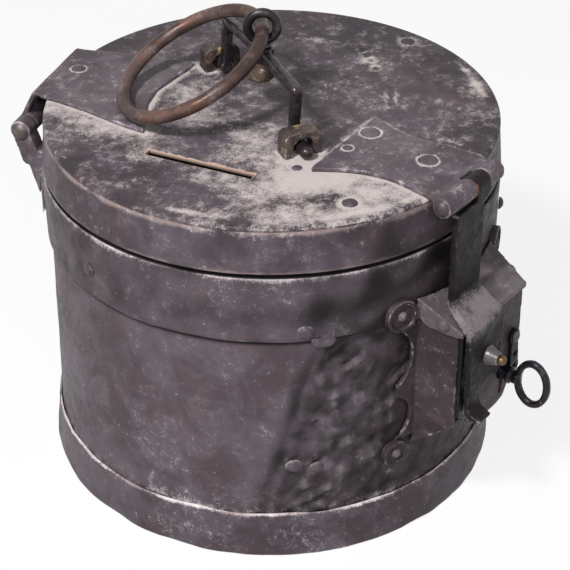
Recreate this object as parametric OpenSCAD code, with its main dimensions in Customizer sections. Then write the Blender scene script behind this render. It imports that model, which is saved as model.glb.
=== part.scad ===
// Forged iron alms box: a hooped drum with a hinged lid, a coin slot, a lifting ring on a
// swivelling bail, and a hasp that drops over a lock case with its key.
// Origin on the drum's axis at the foot, +Z up, the lock towards -Y.

/* [Drum] */
// Outer radius of the wall at its top edge
wall_r = 99.4; // [92:0.2:110]
// How much wider the wall is at its foot
wall_flare = 1.8; // [0:0.1:4]
// Thickness of the wall's iron
wall_t = 2; // [1.2:0.1:3]
// Height of the wall
wall_h = 145.5; // [135:0.5:175]
// Thickness of the floor
floor_t = 2.5; // [1.5:0.1:4]
// Height of the hoop at the foot
foot_band_h = 23; // [14:0.5:30]
// How far the foot hoop stands out at the bottom
foot_band_t = 3.3; // [2.4:0.1:5]
// How far the foot hoop stands out at its upper edge
foot_band_lip = 2.1; // [1:0.1:2.4]
// Height of the hoop below the lid
top_band_h = 31.5; // [24:0.5:34]
// How far the upper hoop stands out at its lower edge
top_band_lip = 1.2; // [0.8:0.1:2]
// How far the upper hoop stands out at its upper edge
top_band_t = 2.6; // [2:0.1:3]
// Width of the wall's lapped seam, in degrees
seam_w = 6.5; // [4:0.5:9]
// Height of the step at the lapped seam
seam_t = 0.7; // [0.4:0.1:1.2]

/* [Lid] */
// How far the lid's top stands out beyond the wall's top edge
lid_over = 0.6; // [0.2:0.1:1.5]
// Height of the lid from its lower edge to its top
lid_h = 22.8; // [20:0.2:28]
// Thickness of the lid's top plate
plate_t = 2.2; // [1.6:0.1:3]
// Rounding of the lid's upper edge
edge_r = 1.8; // [0.8:0.1:2.4]
// Thickness of the lid's turned-down rim
skirt_t = 2; // [1.4:0.1:2.6]
// How much the rim widens towards its lower edge
skirt_flare = 1.7; // [0:0.1:2.4]
// Gap between the lid's rim and the wall
lid_gap = 0.3; // [0.2:0.1:0.8]
// Length of the coin slot
slot_l = 49.4; // [36:0.2:54]
// Width of the coin slot
slot_w = 4.6; // [3.6:0.1:5.2]
// Middle of the coin slot, left of the lid's middle
slot_x = 57.3; // [54:0.1:61]
// Middle of the coin slot, in front of the lid's middle
slot_y = 6.6; // [2:0.1:12]
// Turn of the coin slot away from the front-to-back line
slot_turn = 13; // [0:1:25]

/* [Lid hinge] */
// Direction of the lid's hinge from the drum's axis, in degrees
hinge_az = 108; // [100:1:125]
// Distance of the hinge's axis outside the lid's edge
hinge_out = 6.8; // [6.4:0.1:9]
// Depth of the hinge's axis below the lid's top
hinge_drop = 14.4; // [12:0.2:18]
// Radius of the hinge's knuckles
knuckle_r = 4.8; // [4.2:0.1:5.2]
// Radius of the hinge's pin
pin_r = 3; // [2.2:0.1:3.4]
// Length of the lid's knuckle
lid_knuckle_l = 47; // [40:1:54]
// Length of each of the drum's knuckles
leaf_knuckle_l = 7.6; // [5:0.2:10]
// Thickness of the hinge's leaf on the drum
leaf_t = 2.2; // [1.5:0.1:3]
// Thickness of the fishtail strap on the lid
strap_t = 1.8; // [1.2:0.1:2]
// Length of the fishtail strap inward from the lid's edge
strap_l = 48.5; // [38:0.5:54]

/* [Handle] */
// Turn of the bail's line from the left-to-right line, in degrees
handle_turn = 62; // [50:1:75]
// Distance of each staple's middle in from the lid's edge
staple_in = 56.7; // [50:0.1:60]
// Depth of a staple along the bail's line
staple_d = 8; // [6:0.2:10]
// Width of a staple
staple_w = 17.5; // [15:0.5:20]
// Height of a staple
staple_h = 11; // [10:0.2:14]
// Width of the arched opening in a staple
arch_w = 10; // [8:0.2:12]
// Height of the arched opening in a staple
arch_h = 8.5; // [7.5:0.1:9.5]
// Radius of the bail's pins
bail_pin_r = 3; // [2.4:0.1:3.4]
// Side of the bail's square bar
bar_w = 4.6; // [4:0.1:6]
// Height of the bail's knees above its pins
knee_h = 22.2; // [20:0.2:26]
// Rise of the bail's top from its knees to its middle
boss_rise = 1.4; // [0:0.2:5]
// Height of the widened middle of the bail
boss_t = 5.6; // [5:0.1:7]
// Radius of the widened middle of the bail
boss_r = 5.6; // [5:0.1:7]
// How far the bail leans away from the ring, in degrees
bail_lean = 3.5; // [0:0.5:8]
// Radius of the eye bolt's shank
shank_r = 2.4; // [1.8:0.1:3]
// Radius of the eye's ring, to the middle of its bar
eye_r = 6.4; // [6:0.1:7.2]
// Radius of the eye's bar
eye_tube = 2.1; // [1.6:0.1:2.3]
// Radius of the eye bolt's riveted foot
button_r = 6.5; // [5.5:0.1:7.5]
// Radius of the carrying ring, to the middle of its bar
ring_r = 34.4; // [30:0.2:37]
// Radius of the carrying ring's bar
ring_tube = 3; // [2.4:0.1:3.4]
// Direction in which the carrying ring lies, in degrees
ring_az = 128.5; // [120:0.5:135]
// Sideways roll of the carrying ring, in degrees
ring_roll = 5; // [3:0.5:10]

/* [Hasp] */
// Thickness of the fishtail plate that carries the hasp
hasp_plate_t = 2; // [1.4:0.1:2.6]
// Length of the hasp's fishtail plate inward from the lid's edge
hasp_plate_l = 57.2; // [46:0.2:62]
// Distance of the hasp's hinge outside the lid's edge
hasp_out = 5.5; // [5.2:0.1:6]
// Radius of the hasp hinge's knuckles
hasp_knuckle_r = 4.5; // [4:0.1:4.8]
// Radius of the hasp hinge's pin
hasp_pin_r = 2.2; // [1.6:0.1:2.8]
// Thickness of the hasp's iron
hasp_t = 2.8; // [2:0.1:3.2]
// Width of the hasp's strap
hasp_w = 20.5; // [17:0.5:23]
// Radius of the steel knob's foot
knob_r = 4.4; // [3.4:0.1:5.2]
// Radius of the knob's brass ball
ball_r = 2.2; // [1.6:0.1:2.6]

/* [Lock case] */
// Depth of the keyhole below the lid's top
lock_drop = 96.1; // [94:0.1:98]
// How far the case's front stands out beyond the lid's edge
case_out = 19; // [18:0.1:22]
// Half the case's width where it meets the drum
case_back_w = 27.2; // [26:0.1:30]
// Half the case's width at its front
case_front_w = 23.9; // [23.4:0.1:25]
// Thickness of the case's side walls
case_t = 2; // [1.4:0.1:2.2]
// Thickness of the front plate
front_t = 2.2; // [1.6:0.1:2.6]
// Thickness of the roof
roof_t = 2; // [1.4:0.1:2.6]
// Radius of the lower round ears on the drum
ear_r = 6.6; // [5.4:0.1:7.2]
// Radius of the upper round ears on the drum
upper_ear_r = 7.6; // [6:0.1:8]

/* [Key and bolt] */
// Place of the keyhole, right of the middle
key_x = 10.5; // [10:0.1:11.5]
// Radius of the key's shank
key_r = 3; // [2.6:0.1:3.3]
// Radius of the post that the hollow key turns on
post_r = 1.6; // [1.2:0.1:1.9]
// Reach of the key's bit from the key's axis
bit_reach = 11; // [10.6:0.1:11.2]
// Thickness of the key's bit
bit_t = 2.2; // [1.6:0.1:2.4]
// Height of the key's oval bow
bow_h = 24; // [20:0.5:27]
// Width of the key's oval bow
bow_w = 17.5; // [15:0.5:19]
// Thickness of the bow's bar
bow_bar = 3; // [2.4:0.1:3.6]
// Thickness of the bolt
bolt_t = 2.8; // [2:0.1:3]
// Height of the bolt's head
bolt_h = 4.4; // [3.6:0.1:4.6]
// Travel of the bolt
bolt_travel = 8.4; // [8:0.1:8.6]
// Radius of the studs that the bolt slides on
stud_r = 1.45; // [1.2:0.05:1.6]
// Thickness of the keyhole's cover
cover_t = 1.6; // [1:0.1:2]

/* [Hidden] */
$fn = 64;
// Segments of the drum's own large rounds
smooth = 180;

// Clearances: round a pin, beside a fixed piece, and under a piece that is carried
fit = 0.05;
snug = 0.05;
seat = 0.3;
past = 1;

// Colours
iron = "#58504f";
dark_iron = "#3c3637";
pale_iron = "#8a817c";
worn_iron = "#6b4a40";
rusty_brass = "#7a5c38";
brass = "#a8843c";

// Lid and drum
lid_r = wall_r + lid_over;
skirt_z = wall_h + lid_gap;
lid_top = skirt_z + lid_h;
lid_under = lid_top - plate_t;
edge = min(edge_r, plate_t * 0.9);
band_z = wall_h - top_band_h;
function softer(line) = [line[0], for (i = [0:len(line) - 2])
    each [line[i] * 0.75 + line[i + 1] * 0.25, line[i] * 0.25 + line[i + 1] * 0.75], line[len(line) - 1]];
function wall_at(z) = wall_r + wall_flare * (1 - z / wall_h);
foot_r = wall_at(0) + foot_band_t;
foot_lip_r = wall_at(foot_band_h) + foot_band_lip;
band_lip_r = wall_at(band_z) + top_band_lip;
band_r = wall_r + top_band_t;
seam_az = -140;

// Lid hinge, in its own frame: x outward from the drum's axis, y along the pin
hinge_k = lid_r + hinge_out;
hinge_z = lid_top - hinge_drop;
lid_knuckle_from = 5 - (lid_knuckle_l + 5) / 2;
lid_knuckle_to = lid_knuckle_from + lid_knuckle_l;
knuckle_gap = 0.4;
leaf_to = lid_knuckle_to + knuckle_gap + leaf_knuckle_l;
leaf_from = lid_knuckle_from - knuckle_gap - leaf_knuckle_l;

// Handle, in its own frame: x along the bail's line, y towards the ring, z from the lid's top
handle_x = -3.7;
handle_y = 4.6;
pin_z = bail_pin_r + seat;
staple_x = lid_r - staple_in;
leg_x = staple_x - staple_d / 2 - 0.4 - bar_w / 2;
pin_end_x = staple_x + staple_d / 2 + 2.6;
boss_mid = knee_h + boss_rise;
boss_top = boss_mid + boss_t / 2;
boss_bottom = boss_mid - boss_t / 2;
collar_h = 1.2;
collar_r = shank_r + 2;
eye_z = boss_top + seat + eye_r + eye_tube;
eye_inner = eye_r - eye_tube;
ring_drop = eye_inner - ring_tube - seat;

// Carrying ring: its bar passes through the eye, and its low side rests on the lid's strap
ring_z = lid_top + pin_z + eye_z * cos(bail_lean) - ring_drop;
ring_reach = (eye_z - ring_drop) * sin(bail_lean);
ring_x = handle_x + ring_reach * sin(handle_turn);
ring_y = handle_y - ring_reach * cos(handle_turn);
ring_low = lid_top + strap_t + seat + ring_tube;
ring_fall = (ring_z - ring_low) / ring_r;
roll_sq = pow(sin(ring_roll), 2);
ring_sin = (ring_fall - sqrt(pow(ring_fall, 2) - roll_sq * (pow(ring_fall, 2) - roll_sq))) / roll_sq;
ring_pitch = asin(ring_sin);

// Hasp hinge
hasp_y = -(lid_r + hasp_out);
hasp_z = lid_top - 0.8;
near_from = -25;
near_to = -4.3;
mid_to = 5.8;
far_to = 16;

// Lock case: heights are from the keyhole's axis
key_z = lid_top - lock_drop;
front_y = -(lid_r + case_out);
inner_y = front_y + front_t;
back_end_y = -(lid_r - 6.5);
function case_w(y) = case_front_w
    + (case_back_w - case_front_w) * (y - inner_y) / (back_end_y - inner_y);
roof_slope = 0.54;
roof_rise = roof_t * sqrt(1 + pow(roof_slope, 2));
function roof_at(y) = 39.8 + roof_slope * (y - front_y);
bottom_slope = 0.795;
bottom_rise = 2.3;
function bottom_at(y) = -9.5 - bottom_slope * (y - front_y);
front_top = roof_at(front_y) - roof_rise - snug;
back_y = -(lid_r + 3);
back_t = 2;
flap_t = 1.6;
ear_x = case_back_w + 7.6;
ear_turn = asin(ear_x / wall_r);
upper_ear = roof_at(-lid_r) - 4.9;
lower_ear = bottom_at(-lid_r) - 3.1;

// Hasp: it follows the roof at a small gap, then hangs in front of the case
strap_out_y = hasp_y - hasp_knuckle_r;
strap_in_y = strap_out_y + hasp_t;
hang_y = front_y - 2.3;
hang_out_y = hang_y - hasp_t;
roof_gap = 0.6;
hasp_rise = hasp_t * sqrt(1 + pow(roof_slope, 2));
strap_left = -19;
hang_left = -26;
tip_left = -24.5;
tip_right = -15;
tip_z = -0.5;
knob_x = -11;
knob_z = 23.5;
knob_l = 5.5;

// Works of the lock
loop_l = -20.2;
loop_r = -17;
loop_end_y = inner_y + 5.4;
hole_in_y = loop_end_y - 1.5;
hole_out_y = inner_y - 0.7;
bolt_mid = 1.5;
head_low = bolt_mid - bolt_h / 2;
head_high = bolt_mid + bolt_h / 2;
hole_low = head_low - 0.4;
hole_high = head_high + 0.4;
loop_low = hole_low - 2.4;
loop_high = hole_high + 2.4;
bolt_y = inner_y + 0.5;
bolt_in_y = bolt_y + bolt_t;
bolt_tip = loop_r + 3.6;
tail_low = 6;
tail_high = 17.5;
tail_right = key_x + 10.5;
notch_w = bit_t + 4.2;
notch_top = bit_reach + 0.7;
stud_z = 15.2;
stud_a = 4.5;
stud_b = 9;
slide_low = stud_z - stud_r - fit;
slide_high = stud_z + stud_r + fit;
slide_from = stud_a - stud_r - 0.15;
slide_to = stud_b + stud_r + bolt_travel + 0.15;
hole_r = key_r + 0.6;
key_tip_y = back_y - 0.6;
bow_mid_y = front_y - 15.7;
cover_x = 17.2;
cover_z = 15.7;
cover_y = front_y - seat;
cover_pin_r = 1.5;

module slab_y(points, y0, y1) {
    translate([0, y1, 0]) rotate([90, 0, 0]) linear_extrude(y1 - y0) polygon(points);
}

module slab_x(points, x0, x1) {
    translate([x0, 0, 0]) rotate([90, 0, 90]) linear_extrude(x1 - x0) polygon(points);
}

module bar_y(x, z, r, y0, y1) {
    translate([x, y0, z]) rotate([-90, 0, 0]) cylinder(r = r, h = y1 - y0);
}

module bar_x(y, z, r, x0, x1) {
    translate([x0, y, z]) rotate([0, 90, 0]) cylinder(r = r, h = x1 - x0);
}

// Rivet head: a cap of a sphere on the plane z = 0
module dome(r, h) {
    ball = (r * r + h * h) / (2 * h);
    intersection() {
        translate([0, 0, h - ball]) sphere(r = ball);
        cylinder(r = r + past, h = h + past);
    }
}

// Everything up to the drum's outer faces, grown by a gap
module drum_outline(gap) {
    rotate_extrude($fn = smooth) polygon([
        [0, -past], [foot_r + gap, -past], [foot_r + gap, 0],
        [foot_lip_r + gap, foot_band_h], [foot_lip_r, foot_band_h + gap],
        [wall_at(foot_band_h) + gap, foot_band_h + gap], [wall_at(band_z) + gap, band_z - gap],
        [band_lip_r, band_z - gap], [band_lip_r + gap, band_z], [band_r + gap, wall_h],
        [0, wall_h]]);
}

module hinge_frame() {
    rotate([0, 0, hinge_az]) children();
}

module handle_frame() {
    translate([handle_x, handle_y, lid_top]) rotate([0, 0, handle_turn]) children();
}

module bail_frame() {
    handle_frame() translate([0, 0, pin_z]) rotate([bail_lean, 0, 0]) children();
}

// A place on the drum's outside, looking outward along z
module on_drum(az, z, r) {
    rotate([0, 0, az]) translate([r, 0, z]) rotate([0, 90, 0]) children();
}

module lock_frame() {
    translate([0, 0, key_z]) children();
}

// Drum

module body_shell() {
    color(iron) {
        rotate_extrude($fn = smooth) polygon([
            [wall_at(0) - wall_t, 0], [wall_at(0), 0], [wall_r, wall_h], [wall_r - wall_t, wall_h]]);
        seam();
    }
}

module seam() {
    low = foot_band_h + snug;
    high = band_z - snug;
    rotate([0, 0, seam_az]) rotate_extrude(angle = seam_w, $fn = smooth) polygon([
        [wall_at(low) - 0.4, low], [wall_at(low) + seam_t, low],
        [wall_at(high) + seam_t, high], [wall_at(high) - 0.4, high]]);
}

module base_plate() {
    color(dark_iron)
        cylinder(r1 = wall_at(0) - wall_t, r2 = wall_at(floor_t) - wall_t, h = floor_t, $fn = smooth);
}

module base_band() {
    lip = 1.2;
    color(iron) {
        rotate_extrude($fn = smooth) polygon([
            [wall_at(0), 0], [foot_r, 0], [foot_lip_r, foot_band_h - lip],
            [foot_lip_r - lip * 0.6, foot_band_h], [wall_at(foot_band_h), foot_band_h]]);
        rotate([0, 0, -123]) rotate_extrude(angle = 9, $fn = smooth) polygon([
            [foot_lip_r - 0.8, 4], [foot_r + 0.3, 4], [foot_lip_r + 1.2, foot_band_h - 5],
            [foot_lip_r - 0.8, foot_band_h - 3]]);
    }
}

module upper_band() {
    color(iron) rotate_extrude($fn = smooth) polygon([
        [wall_at(band_z), band_z], [band_lip_r, band_z], [band_r, wall_h], [wall_r, wall_h]]);
}

module wall_rivet(az, z, r, h) {
    difference() {
        on_drum(az, z, wall_at(z)) union() {
            dome(r, h);
            translate([0, 0, -past]) cylinder(r = r, h = past);
        }
        drum_outline(snug);
        seam();
    }
}

module body_rivets() {
    hoop_z = band_z + top_band_h * 0.44;
    low_z = wall_h / 3;
    tab_z = band_z - 5;
    tab_r = 4.6;
    color(iron) {
        for (az = [-60, 40, 169]) wall_rivet(az, hoop_z, 3.6, 3.6);
        wall_rivet(seam_az + 5.7, band_z + 4, 3.2, 3.2);
        wall_rivet(seam_az + 3, low_z, 3.4, 2.4);
        wall_rivet(seam_az + 8.5, low_z - 2, 2.6, 2);
        difference() {
            on_drum(seam_az + 9, tab_z, wall_at(tab_z) - past) cylinder(r = tab_r, h = past + 1.6);
            drum_outline(snug);
            seam();
        }
    }
}

module hinge_body_leaf() {
    inner = band_r + 0.1;
    reach = asin(leaf_to / (inner + leaf_t));
    low_reach = asin(-leaf_from / (inner + leaf_t));
    color(iron) hinge_frame() difference() {
        union() {
            rotate([0, 0, -low_reach]) rotate_extrude(angle = reach + low_reach, $fn = smooth) polygon([
                [inner, band_z + 2], [inner + leaf_t, band_z], [inner + leaf_t, wall_h], [inner, wall_h]]);
            for (span = [[leaf_from, lid_knuckle_from - knuckle_gap],
                         [lid_knuckle_to + knuckle_gap, leaf_to]]) {
                bar_y(hinge_k, hinge_z, knuckle_r, span[0], span[1]);
                slab_y([[hinge_k - 10.8, wall_h - 9.5], [hinge_k - 0.5, wall_h - 7.5],
                    [hinge_k + knuckle_r, hinge_z], [hinge_k - knuckle_r + 0.4, hinge_z]],
                    span[0], span[1]);
            }
        }
        cylinder(r = inner, h = lid_top, $fn = smooth);
        bar_y(hinge_k, hinge_z, pin_r + fit, leaf_from - past, leaf_to + past);
    }
}

module hinge_pin() {
    head = 2.2;
    color(pale_iron) hinge_frame() {
        bar_y(hinge_k, hinge_z, pin_r, leaf_from - 0.8, leaf_to + 0.2);
        translate([hinge_k, leaf_to + 0.2, hinge_z]) rotate([-90, 0, 0]) dome(pin_r + 1.2, head);
    }
}

// Lid

module lid_plate() {
    color(iron) difference() {
        rotate_extrude($fn = smooth) polygon(concat(
            [[0, lid_under], [lid_r, lid_under]],
            [for (a = [0:30:90]) [lid_r - edge + edge * cos(a), lid_top - edge + edge * sin(a)]],
            [[0, lid_top]]));
        translate([-slot_x, -slot_y, lid_under - past]) rotate([0, 0, 90 + slot_turn])
            translate([-slot_l / 2, -slot_w / 2, 0]) cube([slot_l, slot_w, plate_t + 2 * past]);
    }
}

module lid_skirt() {
    color(iron) rotate_extrude($fn = smooth) polygon([
        [lid_r + skirt_flare - skirt_t, skirt_z], [lid_r + skirt_flare, skirt_z],
        [lid_r, lid_under], [lid_r - skirt_t, lid_under]]);
}

module hinge_lid_strap() {
    bend_t = 2.2;
    outer_k = hinge_k + knuckle_r;
    near_edge = [[lid_r - 1, lid_knuckle_to + 1], [lid_r - 13, lid_knuckle_to + 3.1],
        [lid_r - 28.8, lid_knuckle_to + 7.1], [lid_r - strap_l + 5.1, lid_knuckle_to + 12.4],
        [lid_r - strap_l - 8.2, lid_knuckle_to + 15.1]];
    color(dark_iron) hinge_frame() difference() {
        union() {
            translate([0, 0, lid_top]) linear_extrude(strap_t) polygon(concat(softer(near_edge), [
                [lid_r - strap_l, lid_knuckle_to - 8.7], [lid_r - strap_l + 1.3, 3.9],
                [lid_r - strap_l - 1.8, -10.4], [lid_r - strap_l - 4.3, lid_knuckle_from + 0.6],
                [lid_r - strap_l - 4.9, lid_knuckle_from - 5.4],
                [lid_r - 25, lid_knuckle_from - 2.6], [lid_r - 1, lid_knuckle_from]]));
            slab_y([[lid_r - 2, lid_top], [lid_r - 2, lid_top + strap_t],
                [lid_r + 2.7, lid_top + strap_t], [lid_r + 3.9, lid_top + strap_t - 0.6],
                [outer_k, hinge_z], [outer_k - bend_t, hinge_z - 0.2], [lid_r + 1.9, lid_top]],
                lid_knuckle_from, lid_knuckle_to);
            bar_y(hinge_k, hinge_z, knuckle_r, lid_knuckle_from, lid_knuckle_to);
        }
        bar_y(hinge_k, hinge_z, pin_r + fit, lid_knuckle_from - past, lid_knuckle_to + past);
    }
}

module hasp_lid_plate() {
    tip_y = -lid_r + hasp_plate_l;
    near_edge = [[-34.8, tip_y - 4.2], [-24.4, tip_y - 19], [-20.4, 22.6 - lid_r], [-22.4, 9 - lid_r],
        [near_from + 1.5, 1 - lid_r], [near_from, hasp_y]];
    far_edge = [[far_to, hasp_y], [far_to + 1.5, 6.3 - lid_r], [15.3, 21 - lid_r], [12.1, tip_y - 18],
        [18.3, tip_y]];
    color(dark_iron) difference() {
        union() {
            translate([0, 0, lid_top]) linear_extrude(hasp_plate_t)
                polygon(concat(softer(softer(near_edge)), softer(softer(far_edge))));
            bar_x(hasp_y, hasp_z, hasp_knuckle_r, near_from, far_to);
        }
        translate([near_to, hasp_y - hasp_knuckle_r - past, hasp_z - hasp_knuckle_r - past])
            cube([mid_to - near_to, 2 * hasp_knuckle_r + 1.6, 2 * hasp_knuckle_r + 2 * past]);
        bar_x(hasp_y, hasp_z, hasp_pin_r + fit, near_from - past, far_to + past);
    }
}

module hasp_pin() {
    color(pale_iron) {
        bar_x(hasp_y, hasp_z, hasp_pin_r, near_from - 0.2, far_to + 0.6);
        translate([near_from - 0.2, hasp_y, hasp_z]) rotate([0, -90, 0]) dome(hasp_pin_r + 1.2, 1.8);
    }
}

module lid_rivets() {
    big = 4.6;
    middle = 3.5;
    small = 2.5;
    rise = 0.4;
    on_plate = lid_top + hasp_plate_t;
    inner_row = hasp_plate_l * 0.88 - lid_r;
    outer_row = hasp_plate_l * 0.31 - lid_r;
    color(iron) {
        translate([4.5, inner_row, on_plate]) dome(big, big * rise);
        translate([-0.1, outer_row, on_plate]) dome(big, big * rise);
        translate([-12, inner_row, on_plate]) dome(small, small * rise);
        translate([-35.4, inner_row + 8.8, lid_top]) dome(small, small * rise);
        translate([-44.6, outer_row + 7.8, lid_top]) dome(middle, middle * rise);
        rotate([0, 0, -7]) translate([lid_r - 10, 0, lid_top]) dome(middle, middle * rise);
        hinge_frame() translate([lid_r - 6.5, -1.6, lid_top + strap_t]) dome(middle, middle * rise);
    }
}

// Handle

module staple(side) {
    half = staple_w / 2;
    arch = arch_w / 2;
    handle_frame() translate([side * staple_x, 0, 0]) difference() {
        slab_x([[-half, 0], [half, 0], [half - 0.5, staple_h - 1.8], [half - 2.2, staple_h],
            [2.2 - half, staple_h], [0.5 - half, staple_h - 1.8]], -staple_d / 2, staple_d / 2);
        bar_x(0, arch_h - arch, arch, -staple_d, staple_d);
        translate([-staple_d, -arch, -past]) cube([2 * staple_d, arch_w, arch_h - arch + past]);
    }
}

module staple_front() {
    color(dark_iron) staple(-1);
}

module staple_rear() {
    color(dark_iron) staple(1);
}

// Square bar with worn corners along z
module worn_bar(w, length) {
    half = w / 2;
    c = w * 0.18;
    linear_extrude(length) polygon([[half, c - half], [half, half - c], [half - c, half], [c - half, half],
        [-half, half - c], [-half, c - half], [c - half, -half], [half - c, -half]]);
}

module knee(w) {
    half = w / 2;
    c = w * 0.18;
    rotate([90, 0, 0]) rotate_extrude() polygon([[0, -half], [half - c, -half], [half, c - half],
        [half, half - c], [half - c, half], [0, half]]);
}

module bail() {
    arm_l = norm([leg_x, boss_rise]);
    arm_turn = atan2(leg_x, boss_rise);
    color(dark_iron) bail_frame() difference() {
        union() {
            for (side = [-1, 1]) {
                translate([side * leg_x, 0, 0]) {
                    worn_bar(bar_w, knee_h);
                    translate([0, 0, knee_h]) knee(bar_w);
                    translate([0, 0, knee_h]) rotate([0, -side * arm_turn, 0]) worn_bar(bar_w, arm_l);
                }
                translate([side * (leg_x - bar_w / 2), 0, 0]) rotate([0, side * 90, 0])
                    cylinder(r = bail_pin_r, h = pin_end_x - leg_x + bar_w / 2);
                translate([side * pin_end_x, 0, 0]) sphere(r = bail_pin_r);
            }
            translate([0, 0, boss_bottom]) cylinder(r = boss_r, h = boss_t);
        }
        translate([0, 0, boss_bottom - past]) cylinder(r = shank_r + fit, h = boss_t + 2 * past);
    }
}

module eye_frame() {
    bail_frame() rotate([0, 0, ring_az - handle_turn]) children();
}

module swivel_eye() {
    color(dark_iron) eye_frame() {
        translate([0, 0, eye_z]) rotate([90, 0, 0]) rotate_extrude() translate([eye_r, 0])
            circle(r = eye_tube);
        translate([0, 0, boss_top + seat]) cylinder(r1 = collar_r, r2 = shank_r + 0.8, h = collar_h);
        translate([0, 0, boss_bottom - seat]) cylinder(r = shank_r, h = boss_t + 2 * seat + 1.5);
    }
}

module swivel_button() {
    top = boss_bottom - seat;
    color(rusty_brass) eye_frame() rotate_extrude() polygon([
        [0, top], [3.4, top], [4.4, top - 3.6], [button_r - 0.3, top - 6.4], [button_r, top - 7.6],
        [button_r - 0.5, top - 8.8], [button_r - 2.2, top - 9.8], [0, top - 10.4]]);
}

module carry_ring() {
    color(worn_iron) translate([ring_x, ring_y, ring_z]) rotate([0, 0, ring_az])
        rotate([0, ring_pitch, 0]) rotate([-ring_roll, 0, 0]) translate([ring_r, 0, 0])
            rotate_extrude($fn = 96) translate([ring_r, 0]) circle(r = ring_tube);
}

// Hasp

module hasp() {
    top_z = hasp_z - key_z;
    shoulder = top_z - hasp_knuckle_r - 0.7;
    in_z = roof_at(strap_in_y) + roof_gap;
    hang_z = roof_at(hang_y) + roof_gap;
    out_z = roof_at(strap_out_y) + roof_gap + hasp_rise;
    hang_out_z = roof_at(hang_out_y) + roof_gap + hasp_rise;
    tongue = mid_to - 0.3;
    right = strap_left + hasp_w;
    color(dark_iron) difference() {
        union() {
            lock_frame() intersection() {
                slab_x([[strap_out_y, top_z], [strap_in_y, top_z], [strap_in_y, in_z], [hang_y, hang_z],
                    [hang_y, tip_z], [hang_y - 1.4, tip_z - 2.2], [hang_out_y - 5.4, tip_z - 3.6],
                    [hang_out_y - 6, tip_z - 1.4], [hang_out_y - 1, tip_z + 0.4], [hang_out_y, tip_z + 2.6],
                    [hang_out_y, hang_out_z], [strap_out_y, out_z]], -40, 40);
                slab_y([[near_to + 0.3, top_z], [near_to + 0.3, shoulder], [strap_left, shoulder],
                    [strap_left, in_z + 2], [hang_left, hang_z - 0.5], [tip_left, tip_z + 3],
                    [tip_left, tip_z - 6], [tip_right, tip_z - 6], [tip_right, 8.2], [-12.8, 9.6],
                    [-7.1, 11.2], [-1.5, 12.2], [0, 14], [0.6, hang_z + 1], [right, in_z + 2],
                    [right, shoulder - 2], [tongue, shoulder + 1.4], [tongue, top_z]],
                    hang_out_y - 10, strap_in_y + past);
            }
            bar_x(hasp_y, hasp_z, hasp_knuckle_r, near_to + 0.3, tongue);
        }
        bar_x(hasp_y, hasp_z, hasp_pin_r + fit, near_to - past, mid_to + past);
    }
}

module hasp_knob() {
    color(pale_iron) lock_frame() translate([knob_x, hang_out_y, knob_z]) rotate([90, 0, 0])
        cylinder(r1 = knob_r, r2 = knob_r * 0.6, h = knob_l);
}

module hasp_knob_tip() {
    sunk = ball_r * 0.5;
    color(brass) lock_frame() translate([knob_x, hang_out_y - knob_l, knob_z]) rotate([90, 0, 0])
        intersection() {
            translate([0, 0, ball_r - sunk]) sphere(r = ball_r);
            cylinder(r = ball_r + past, h = 2 * ball_r);
        }
}

module hasp_loop() {
    color(dark_iron) lock_frame() difference() {
        translate([loop_l, hang_y, loop_low])
            cube([loop_r - loop_l, loop_end_y - hang_y, loop_high - loop_low]);
        translate([loop_l - past, hole_out_y, hole_low])
            cube([loop_r - loop_l + 2 * past, hole_in_y - hole_out_y, hole_high - hole_low]);
    }
}

// Lock case

module case_plan(grow, y0, y1) {
    polygon([[-case_w(y0) - grow, y0], [case_w(y0) + grow, y0],
        [case_w(y1) + grow, y1], [-case_w(y1) - grow, y1]]);
}

module lock_wall() {
    front = inner_y + snug;
    back = back_end_y + 3;
    edge_az = -90 - asin(case_w(-lid_r + 3) / lid_r);
    flange_t = 1.8;
    low = lower_ear + ear_r + snug;
    high = upper_ear - upper_ear_r - snug;
    flange_w = 9;
    flange_turn = flange_w / wall_r * 180 / PI;
    nib_z = 5.2;
    nib_h = 2.6;
    difference() {
        union() {
            lock_frame() intersection() {
                translate([0, 0, -60]) linear_extrude(130) polygon([
                    [-case_w(back), back], [case_t - case_w(back), back],
                    [case_t - case_w(front), front], [-case_w(front), front]]);
                slab_x([[back, bottom_at(back)], [front, bottom_at(front)],
                    [front, roof_at(front) - roof_rise - snug], [back, roof_at(back) - roof_rise - snug]],
                    -40, 0);
            }
            difference() {
                rotate([0, 0, edge_az - flange_turn])
                    rotate_extrude(angle = flange_turn + 1, $fn = smooth) polygon([
                    [wall_r - 3, key_z + low], [wall_r + 3, key_z + low],
                    [wall_r + 3, key_z + high], [wall_r - 3, key_z + high]]);
                rotate([0, 0, edge_az]) difference() {
                    translate([lid_r - 10, -20, key_z + low - past]) cube([40, 40, high - low + 2 * past]);
                    translate([0, 0, key_z + low - 2 * past])
                        cylinder(r = wall_at(key_z) + flange_t, h = high - low + 4 * past, $fn = smooth);
                }
                rotate([0, 0, edge_az]) translate([lid_r, 0, key_z]) {
                    for (arc = [[nib_z + nib_h, high - 0.5], [low + 0.5, nib_z - nib_h]]) {
                        half = (arc[1] - arc[0]) / 2;
                        depth = flange_w - 1.8;
                        bow = (half * half + depth * depth) / (2 * depth);
                        translate([-15, depth - flange_w - bow, (arc[0] + arc[1]) / 2]) rotate([0, 90, 0])
                            cylinder(r = bow, h = 30);
                    }
                }
            }
        }
        drum_outline(snug);
    }
}

module lock_wall_left() {
    color(iron) lock_wall();
}

module lock_wall_right() {
    color(iron) mirror([1, 0, 0]) lock_wall();
}

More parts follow.
